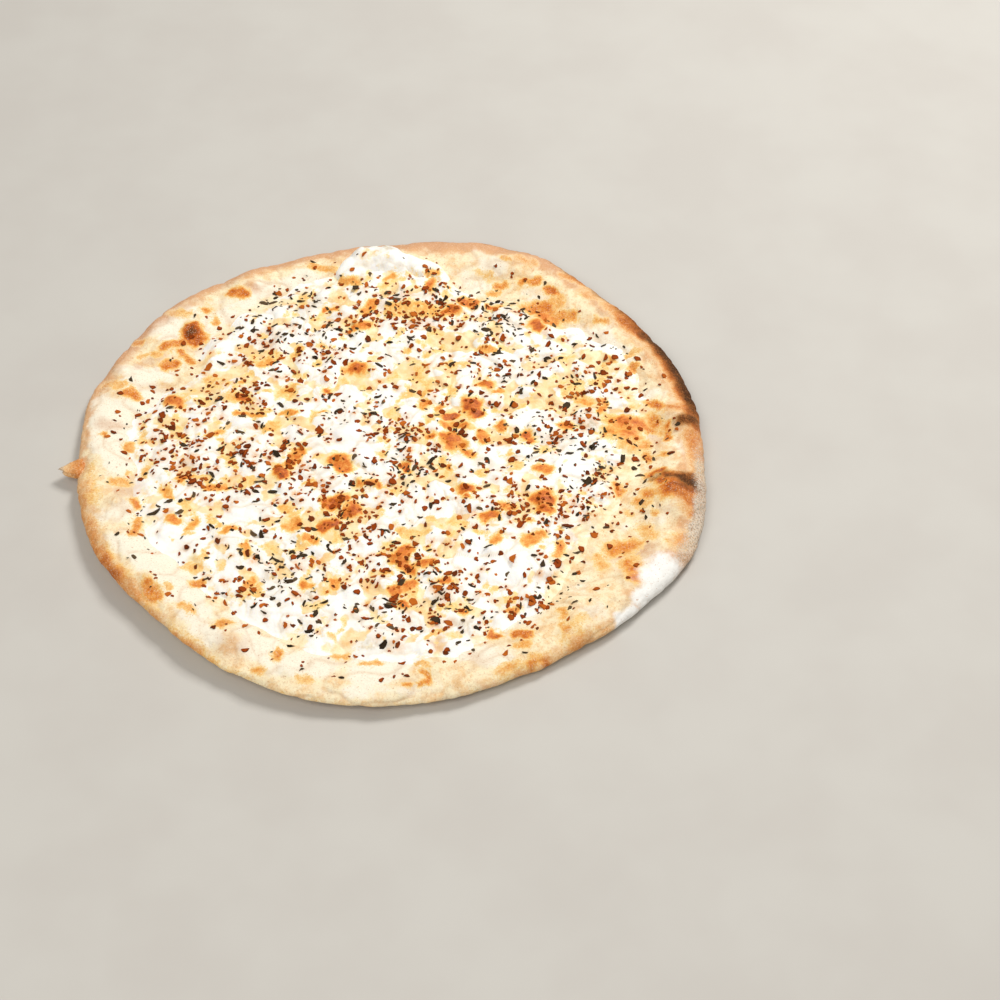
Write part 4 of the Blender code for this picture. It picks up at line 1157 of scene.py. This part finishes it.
def chips(name, places, lengths, widths, thicknesses, turns, wobble, bend, seed):
    """Chips lying on the surface: each one's points are carried by its own three axes to its place."""
    rng = np.random.RandomState(seed)
    many = len(places)
    local = chip_shapes(rng, lengths, widths, thicknesses, wobble, bend)
    height, up = surface_frame(places.real, places.imag)
    up = scaled(up + rng.normal(0, TILT, up.shape))
    ahead = np.stack([np.cos(turns), np.sin(turns), np.zeros(many)], -1)
    ahead = scaled(ahead - up * (ahead * up).sum(-1, keepdims=True))
    side = np.cross(up, ahead)
    origin = np.stack([places.real, places.imag, height], -1) + up * (RAISED * thicknesses)[:, None]
    points = origin[:, None] + local[..., :1] * ahead[:, None]
    points = points + local[..., 1:2] * side[:, None] + local[..., 2:] * up[:, None]
    per_chip = local.shape[1]
    ring = np.arange(AROUND)
    body = ring_faces(len(CHIP_RINGS), AROUND)
    low = fan_faces(ring, per_chip - 2, False)
    high = fan_faces(ring + (len(CHIP_RINGS) - 1) * AROUND, per_chip - 1, True)
    shift = (np.arange(many) * per_chip)[:, None, None]
    faces = [(part[None, :, ::-1] + shift).reshape(-1, part.shape[1]) for part in (body, low, high)]
    middle = np.zeros((many, per_chip))
    middle[:, -2:] = 1.0
    middle[:, 2 * AROUND:3 * AROUND] = UPPER_WEAR
    tone = np.repeat(rng.uniform(0, 1, (many, 1)), per_chip, axis=1)
    return make_piece(name, points, faces, {"middle": middle, "tone": tone}, smooth=False)


# %% Chilli flakes
size_rng = np.random.RandomState(12)
many = len(chilli_places)
chilli_width = chilli_length * size_rng.uniform(0.45, 0.90, many)
chilli_thickness = np.clip(chilli_length * 0.2, 0.35 * MM, 0.75 * MM)
chilli_turn = size_rng.uniform(0, 2 * np.pi, many)
chilli_bend = size_rng.uniform(-0.6, 0.6, many)
chilli = chips("chilli_flakes", chilli_places, chilli_length, chilli_width, chilli_thickness, chilli_turn,
               wobble=0.26, bend=chilli_bend, seed=101)

# %% Herb flakes
many = len(herb_places)
leaf_turn = np.radians([turn for _, _, _, turn in HERB_LEAVES])
herb_turn = np.concatenate([leaf_turn, size_rng.uniform(0, 2 * np.pi, many - len(leaf_turn))])
leaf_slimness = size_rng.uniform(0.28, 0.52, len(leaf_turn))
other_slimness = size_rng.uniform(0.28, 0.66, many - len(leaf_turn))
herb_width = herb_length * np.concatenate([leaf_slimness, other_slimness])
herb_width *= np.clip(4 * MM / herb_length, 0, 1) ** 0.4
herb_thickness = np.clip(herb_length * 0.14, 0.28 * MM, 0.6 * MM)
herb_bend = size_rng.uniform(-0.5, 0.5, many)
herbs = chips("herb_flakes", herb_places, herb_length, herb_width, herb_thickness, herb_turn,
              wobble=0.32, bend=herb_bend, seed=102)

# %% [markdown]
# ## The torn tag
#
# At the left edge a shred of dough was torn out and baked hard. It is a small ball, flattened, narrowed
# towards its outer end and drawn out to a ragged point: the reach of each point wavers with noise.

# %% Torn tag of dough
TAG_CENTRE = (-141.5 * MM, -9.5 * MM, 5.6 * MM)
TAG_SIZE = (6.0 * MM, 4.6 * MM, 1.9 * MM)
TAG_RINGS, TAG_SPOKES = 18, 40
tag_level = np.linspace(np.pi / (TAG_RINGS + 1), np.pi - np.pi / (TAG_RINGS + 1), TAG_RINGS)[:, None]
tag_angle = np.linspace(0, 2 * np.pi, TAG_SPOKES, endpoint=False)[None, :]
ball = np.stack([np.sin(tag_level) * np.cos(tag_angle), np.sin(tag_level) * np.sin(tag_angle),
                 np.cos(tag_level) * np.ones_like(tag_angle)], -1).reshape(-1, 3)
ball = np.concatenate([ball, [[0, 0, 1], [0, 0, -1]]])
grow = 1 + 0.30 * unevenness(*(ball * 5).T, 3.2, seed=90) + 0.20 * unevenness(*(ball * 5).T, 1.1, seed=92)
outward = -ball[:, 0]
narrowed = np.stack([np.ones_like(outward), 1.05 - 0.6 * outward, 1.1 - 0.55 * outward], -1)
tag_points = ball * narrowed * grow[:, None] * np.array(TAG_SIZE) + np.array(TAG_CENTRE)
tag_count = TAG_RINGS * TAG_SPOKES
tag_marks = {name: np.zeros(len(ball)) for name in crust_marks}
tag_marks["toast"] = np.clip(0.40 - 0.2 * outward, 0, 1)
tag_marks["dust"] = 0.7 * smooth_step(0.4, 0.9, outward)
tag_marks["rose"] = tag_marks["tan"] = np.ones(len(ball))
tag_ring = np.arange(TAG_SPOKES)
tag_top = fan_faces(tag_ring, tag_count, False)
tag_low = fan_faces(tag_count - TAG_SPOKES + tag_ring, tag_count + 1, True)
tag = make_piece("torn_tag", tag_points, [ring_faces(TAG_RINGS, TAG_SPOKES), tag_top, tag_low], tag_marks)

# %% [markdown]
# ## Finishes
#
# The masks in the meshes say where things are, and the shaders turn them into colour and gloss. Browning is
# the same chemistry on dough and on cheese, so one group does it for both: it takes a pale colour and the
# masks, breaks them up with fine noise, and walks from pale gold through orange to dark brown. Then come
# grey char, the dull rose of scorched bran and the dusty white of flour.

# %% Helpers for shader nodes
def srgb(red, green, blue):
    """The linear colour of a colour given as it looks on a screen, from 0 to 255."""
    channels = np.array([red, green, blue]) / 255
    linear = np.where(channels <= 0.04045, channels / 12.92, ((channels + 0.055) / 1.055) ** 2.4)
    return (*linear.tolist(), 1.0)


class Shader:
    """A shorthand for building one node tree: each method adds a node and gives back its output."""

    def __init__(self, tree):
        self.tree = tree

    def feed(self, socket, value):
        """Links another node's output to the socket, or sets a plain value."""
        if isinstance(value, bpy.types.NodeSocket):
            self.tree.links.new(value, socket)
        else:
            socket.default_value = value

    def node(self, kind, inputs=None, **settings):
        """A new node with these settings and inputs."""
        made = self.tree.nodes.new(kind)
        for name, value in settings.items():
            setattr(made, name, value)
        for name, value in (inputs or {}).items():
            self.feed(made.inputs[name], value)
        return made

    def mark(self, name):
        """A mark that is stored in the mesh."""
        return self.node("ShaderNodeAttribute", attribute_name=name).outputs["Fac"]

    def grain(self, size, detail=3.0, roughness=0.55):
        """Noise from 0 to 1 whose lumps have this size in metres."""
        place = self.node("ShaderNodeTexCoord").outputs["Object"]
        inputs = {"Vector": place, "Scale": 1 / size, "Detail": detail, "Roughness": roughness}
        return self.node("ShaderNodeTexNoise", inputs).outputs["Fac"]

    def math(self, kind, first, second):
        return self.node("ShaderNodeMath", {0: first, 1: second}, operation=kind).outputs[0]

    def times(self, first, second):
        return self.math("MULTIPLY", first, second)

    def plus(self, first, second):
        return self.math("ADD", first, second)

    def window(self, value, low, high, to_low=0.0, to_high=1.0):
        """An S-curve from to_low, where the value is low, to to_high, where it is high."""
        inputs = {"Value": value, "From Min": low, "From Max": high, "To Min": to_low, "To Max": to_high}
        return self.node("ShaderNodeMapRange", inputs, interpolation_type="SMOOTHSTEP").outputs["Result"]

    def broken(self, value, size, amount, detail=4.0):
        """The mask with noise of this size added where it isn't 0."""
        rough = self.times(self.math("SUBTRACT", self.grain(size, detail, 0.65), 0.5), amount)
        there = self.window(value, 0.0, 0.15)
        return self.plus(value, self.times(rough, there))

    def blend(self, share, first, second):
        """first * (1 - share) + second * share, for colours."""
        made = self.node("ShaderNodeMix", data_type="RGBA")
        for index, value in ((0, share), (6, first), (7, second)):
            self.feed(made.inputs[index], value)
        return made.outputs[2]

    def ramp(self, value, stops):
        """The colour that the value has reached on its way through the stops."""
        made = self.node("ShaderNodeValToRGB", {"Fac": value})
        while len(made.color_ramp.elements) < len(stops):
            made.color_ramp.elements.new(1.0)
        for element, (place, colour) in zip(made.color_ramp.elements, stops):
            element.position = place
            element.color = colour
        return made.outputs["Color"]

    def bump(self, height, strength, distance):
        """The direction that the skin faces once this fine relief is put on it."""
        inputs = {"Height": height, "Strength": strength, "Distance": distance}
        return self.node("ShaderNodeBump", inputs).outputs["Normal"]


# %% The browning group
OVEN_MARKS = ("toast", "char", "flour", "dust", "rose", "line")
LINE_SHADE_BROWN, ROSE_TAN = srgb(206, 160, 112), srgb(212, 160, 122)
SMOKE, CHAR_DARK, CHAR_LIGHT = srgb(160, 98, 52), srgb(52, 31, 14), srgb(122, 89, 55)
BRAN, DUST, FLOUR = srgb(168, 146, 126), srgb(226, 218, 204), srgb(255, 254, 250)
browning = bpy.data.node_groups.new("oven_browning", "ShaderNodeTree")
browning.interface.new_socket("pale colour", in_out="INPUT", socket_type="NodeSocketColor")
for socket in (*OVEN_MARKS, "doughy"):
    browning.interface.new_socket(socket, in_out="INPUT", socket_type="NodeSocketFloat")
browning.interface.new_socket("colour", in_out="OUTPUT", socket_type="NodeSocketColor")
browning.interface.new_socket("dryness", in_out="OUTPUT", socket_type="NodeSocketFloat")
oven = Shader(browning)
given = browning.nodes.new("NodeGroupInput").outputs
result = browning.nodes.new("NodeGroupOutput").inputs

# Painted shade along the fine lines, wrinkles and creases
line_shaded = oven.blend(oven.times(given["line"], 0.5), given["pale colour"], LINE_SHADE_BROWN)
rosy = oven.blend(oven.times(oven.broken(given["rose"], 2.2 * MM, 0.35), 0.8), line_shaded, ROSE_TAN)
toast = oven.broken(oven.broken(given["toast"], 5.0 * MM, 0.26), 2.4 * MM, 0.34, 5.0)
toast = oven.broken(toast, 0.8 * MM, 0.40, 3.0)
# How toasted it is, the colour of cheese there, and the colour of dough
HEATS = (
    (0.10, (253, 230, 176), (250, 226, 184)),
    (0.26, (251, 213, 137), (240, 198, 144)),
    (0.42, (243, 174, 80), (228, 160, 94)),
    (0.57, (226, 126, 32), (208, 124, 56)),
    (0.71, (190, 88, 16), (174, 90, 32)),
    (0.84, (134, 64, 14), (126, 70, 28)),
    (1.00, (92, 56, 30), (88, 56, 30)),
)
cheese_heat = oven.ramp(toast, [(place, srgb(*on_cheese)) for place, on_cheese, _ in HEATS])
dough_heat = oven.ramp(toast, [(place, srgb(*on_dough)) for place, _, on_dough in HEATS])
heat = oven.blend(given["doughy"], cheese_heat, dough_heat)
toasted = oven.blend(oven.window(toast, 0.08, 0.26), rosy, heat)
stippled = oven.broken(oven.broken(given["char"], 2.6 * MM, 0.8, 4.0), 0.5 * MM, 1.8, 4.0)
charcoal = oven.blend(oven.window(oven.grain(0.6 * MM, 4.0), 0.53, 0.69), CHAR_DARK, CHAR_LIGHT)
smoked = oven.blend(oven.window(given["char"], 0.0, 0.6, 0.0, 0.55), toasted, SMOKE)
charred = oven.blend(oven.window(stippled, 0.30, 1.10, 0.0, 0.92), smoked, charcoal)
dust_share = oven.window(oven.broken(given["dust"], 0.55 * MM, 2.2, 3.0), 0.25, 1.2)
bran_and_flour = oven.blend(oven.window(oven.grain(0.8 * MM, 4.0), 0.36, 0.60), BRAN, DUST)
dusted = oven.blend(dust_share, charred, bran_and_flour)
flour_share = oven.window(oven.broken(given["flour"], 2.4 * MM, 0.8, 6.0), 0.10, 0.80)
oven.feed(result["colour"], oven.blend(flour_share, dusted, FLOUR))
oven.feed(result["dryness"], oven.window(toast, 0.05, 0.5))
print("browning group has", len(browning.nodes), "nodes")


def baked(make, pale, doughy):
    """Adds the browning group, fed with this piece's marks; doughy is 1 on dough and 0 on cheese."""
    group = make.node("ShaderNodeGroup", node_tree=browning)
    make.feed(group.inputs["pale colour"], pale)
    make.feed(group.inputs["doughy"], doughy)
    for mark in OVEN_MARKS:
        make.feed(group.inputs[mark], make.mark(mark))
    return group.outputs


def new_material(name):
    """A material, and the shorthand for its nodes."""
    material = bpy.data.materials.new(name)
    material.use_nodes = True
    return material, Shader(material.node_tree)


def finish(make, looks):
    """Feeds these sockets or plain values into the material's Principled shader."""
    skin = make.tree.nodes["Principled BSDF"]
    for name, value in looks.items():
        make.feed(skin.inputs[name], value)
    print("finish made of", len(make.tree.nodes), "nodes")


def bare_dough(make):
    """The pale colour of bare dough, wavering between cream and peach."""
    return make.blend(make.window(make.grain(6 * MM, 5.0, 0.62), 0.44, 0.66), CREAM, PEACH)


def tanned_by_heat(make, colour, roughness):
    """The colour turned tan by the tan mark, with an uneven border."""
    return make.blend(make.window(make.broken(make.mark("tan"), 2.6 * MM, roughness), 0.1, 1.0), colour, TAN)


def doughiness(make):
    """How much the browning is that of dough: more where the rim is tan."""
    return make.window(make.mark("tan"), 0.0, 0.6, 0.35, 1.0)


# %% [markdown]
# The crust is dry and matt. Its pale colour wavers between cream and peach, with fine flecks where starch
# caught the heat, and it is milky where fat ran over it. The underside is paler, with leopard spots from the
# hot stone.

# %% Crust finish
CREAM, PEACH = srgb(255, 240, 202), srgb(245, 207, 154)
TAN, MILK = srgb(232, 180, 130), srgb(254, 246, 226)
FLECK, PORE, SAND = srgb(222, 166, 112), srgb(190, 128, 78), srgb(196, 140, 94)
STONE_SPOT, SHINE = srgb(176, 108, 54), srgb(255, 244, 220)
crust_material, make = new_material("baked_crust")
fleck_share = make.window(make.grain(1.1 * MM, 4.0), 0.52, 0.70, 0.0, 0.42)
flecked = make.blend(fleck_share, bare_dough(make), FLECK)
milk_share = make.window(make.broken(make.mark("white"), 2.2 * MM, 0.9, 5.0), 0.25, 0.80)
milky = make.blend(milk_share, tanned_by_heat(make, flecked, 0.8), MILK)
stone_spots = make.window(make.grain(13 * MM, 4.0, 0.6), 0.50, 0.66, 0.0, 0.8)
spotted = make.blend(make.times(stone_spots, make.mark("under")), milky, STONE_SPOT)
browned = baked(make, spotted, doughiness(make))["colour"]
pored = make.blend(make.window(make.grain(0.9 * MM, 2.0, 0.4), 0.66, 0.74, 0.0, 0.55), browned, PORE)
sandy = make.blend(make.window(make.grain(0.8 * MM, 3.0, 0.7), 0.50, 0.72, 0.0, 0.30), pored, SAND)
bright = make.blend(make.window(make.grain(0.7 * MM, 3.0, 0.7), 0.48, 0.30, 0.0, 0.45), sandy, SHINE)
# Flour and char cover the fine mottling
charred_over = make.window(make.mark("char"), 0.05, 0.5)
calm = make.math("MAXIMUM", make.times(make.mark("flour"), 0.9), charred_over)
crumb = make.plus(make.grain(1.3 * MM, 6.0, 0.65), make.times(make.grain(0.35 * MM), 0.4))
finish(make, {
    "Base Color": make.blend(calm, bright, pored),
    "Roughness": make.window(make.grain(3 * MM), 0.3, 0.7, 0.62, 0.85),
    "Normal": make.bump(crumb, 0.8, 0.5 * MM),
    "Specular IOR Level": 0.12,
})
for piece in (crust, tag):
    piece.data.materials.append(crust_material)

# %% [markdown]
# Melted cheese is soft, pale and a little greasy, and light enters it before it comes back, which a small
# share of subsurface scattering gives. White curds stand in creamy butter yellow. Herbs under the skin show
# as grey, which also paints shade round lumps; creases get painted shade, and chilli oil stains it orange.

# %% Cheese finish
BUTTER, CUSTARD, CURD = srgb(254, 234, 188), srgb(248, 210, 148), srgb(255, 254, 249)
CREASE_SHADE, HERB_AND_SHADE_GREY, CHILLI_OIL = srgb(220, 202, 166), srgb(208, 194, 168), srgb(242, 172, 84)
cheese_material, make = new_material("melted_cheese")
butter = make.blend(make.window(make.grain(6 * MM, 4.0), 0.40, 0.62), BUTTER, CUSTARD)
ground = make.blend(make.mark("bare"), butter, tanned_by_heat(make, bare_dough(make), 0.6))
curd_share = make.window(make.broken(make.mark("white"), 2.4 * MM, 0.9), 0.24, 0.55)
curdy = make.blend(curd_share, ground, CURD)
# Painted shade in the creases
folded = make.blend(make.times(make.mark("fold"), 0.45), curdy, CREASE_SHADE)
# Grey where herbs show through, and painted shade round lumps
grey_and_shade_share = make.times(make.mark("herb_grey_and_shade"), make.window(make.grain(1.8 * MM, 4.0), 0.30, 0.70, 0.35, 1.0))
greyed_and_shaded = make.blend(grey_and_shade_share, folded, HERB_AND_SHADE_GREY)
oil_share = make.times(make.mark("oil"), make.window(make.grain(1.2 * MM, 4.0), 0.30, 0.64, 0.45, 1.0))
oiled = make.blend(oil_share, greyed_and_shaded, CHILLI_OIL)
browned = baked(make, oiled, make.times(make.mark("bare"), doughiness(make)))
wetness = make.window(make.grain(4 * MM), 0.3, 0.7, 0.36, 0.54)
film = make.plus(make.grain(2.2 * MM, 5.0, 0.55), make.times(make.grain(0.5 * MM, 2.0), 0.2))
finish(make, {
    "Base Color": browned["colour"],
    "Roughness": make.plus(wetness, make.times(browned["dryness"], 0.2)),
    "Normal": make.bump(film, 0.42, 0.9 * MM),
    "Subsurface Weight": 0.25,
    "Subsurface Radius": (1.0, 0.9, 0.7),
    "Subsurface Scale": 1.2 * MM,
})
cheese.data.materials.append(cheese_material)

# %% [markdown]
# A chilli flake is rust brown, darker at its edge, and worn to orange in the middle. Herbs dry to a dull grey
# green that is almost black. The tone mark gives each flake a shade of its own.

# %% Flake finishes
def flake_material(name, roughness, gloss, grain_size, colours):
    """Edge to heart colour by the middle mark, then towards dark or light by the flake's own tone."""
    edge, heart, dark, light = [srgb(*colour) for colour in colours]
    material, make = new_material(name)
    speckle = make.times(make.math("SUBTRACT", make.grain(grain_size, 3.0), 0.5), 0.9)
    body = make.blend(make.window(make.plus(make.mark("middle"), speckle), 0.0, 0.8), edge, heart)
    lighter = make.blend(make.window(make.mark("tone"), 0.55, 1.0, 0.0, 0.85), body, light)
    finish(make, {
        "Base Color": make.blend(make.window(make.mark("tone"), 0.35, 0.0, 0.0, 0.7), lighter, dark),
        "Normal": make.bump(make.grain(0.4 * MM, 4.0), 0.4, 0.2 * MM),
        "Roughness": roughness,
        "Specular IOR Level": gloss,
    })
    return material


chilli.data.materials.append(flake_material(
    "chilli_skin", 0.75, 0.10, 0.8 * MM, ((80, 31, 8), (152, 65, 13), (68, 30, 10), (200, 108, 34))))
herbs.data.materials.append(flake_material(
    "dried_herb", 0.8, 0.06, 0.6 * MM, ((40, 31, 20), (70, 56, 40), (30, 23, 15), (104, 84, 60))))

# %% [markdown]
# ## Table and light
#
# A plain pale table and soft light keep the eye on the bread. A large lamp behind and to the right shows the
# lumps by their shading, as the window does on a kitchen table, and a broad one above the camera fills the
# shadows. White cheese should come out nearly, but not everywhere, pure white.

# %% Table
table_mesh = bpy.data.meshes.new("table")
table_mesh.from_pydata([(-4, -4, 0), (4, -4, 0), (4, 4, 0), (-4, 4, 0)], [], [(0, 1, 2, 3)])
table = placed("table", table_mesh)
table_material, make = new_material("pale_table")
tint = make.blend(make.window(make.grain(60 * MM), 0.3, 0.7), srgb(196, 192, 186), srgb(200, 197, 191))
finish(make, {"Base Color": tint, "Roughness": 0.7})
table.data.materials.append(table_material)

# %% Light
LAMPLIGHT = (1.0, 0.985, 0.955)
ROOM_LIGHT = (1.0, 0.96, 0.895, 1.0)
ROOM_STRENGTH = 0.32


def soft_lamp(name, spot, size, power):
    """A square lamp of this size in metres and power in watts, which faces the middle of the bread."""
    data = bpy.data.lights.new(name, "AREA")
    data.size = size
    data.energy = power
    data.color = LAMPLIGHT
    lamp = placed(name, data)
    lamp.location = spot
    lamp.rotation_euler = (-Vector(spot)).to_track_quat("-Z", "Y").to_euler()
    print(name, "shines with", power, "W")


soft_lamp("window_side", (0.6, 0.75, 1.15), 0.5, 15.7)
soft_lamp("above_camera", (-0.4, -0.9, 1.3), 1.0, 11.9)
world = bpy.data.worlds.new("studio")
world.use_nodes = True
room = world.node_tree.nodes["Background"].inputs
room["Color"].default_value = ROOM_LIGHT
room["Strength"].default_value = ROOM_STRENGTH
bpy.context.scene.world = world
bpy.context.scene.view_settings.view_transform = "Standard"

# %% [markdown]
# ## Hand the pieces over
#
# Every piece rides on the part's one body. The crust and the cheese stand for the solids, which are hidden.

# %% Ride and replace
for piece, slot_name in ((crust, "dough"), (tag, "dough"), (cheese, "cheese"), (chilli, "chilli_flake"),
                         (herbs, "herb_flake")):
    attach(piece, "root")
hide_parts("bread")
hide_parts("cheese")
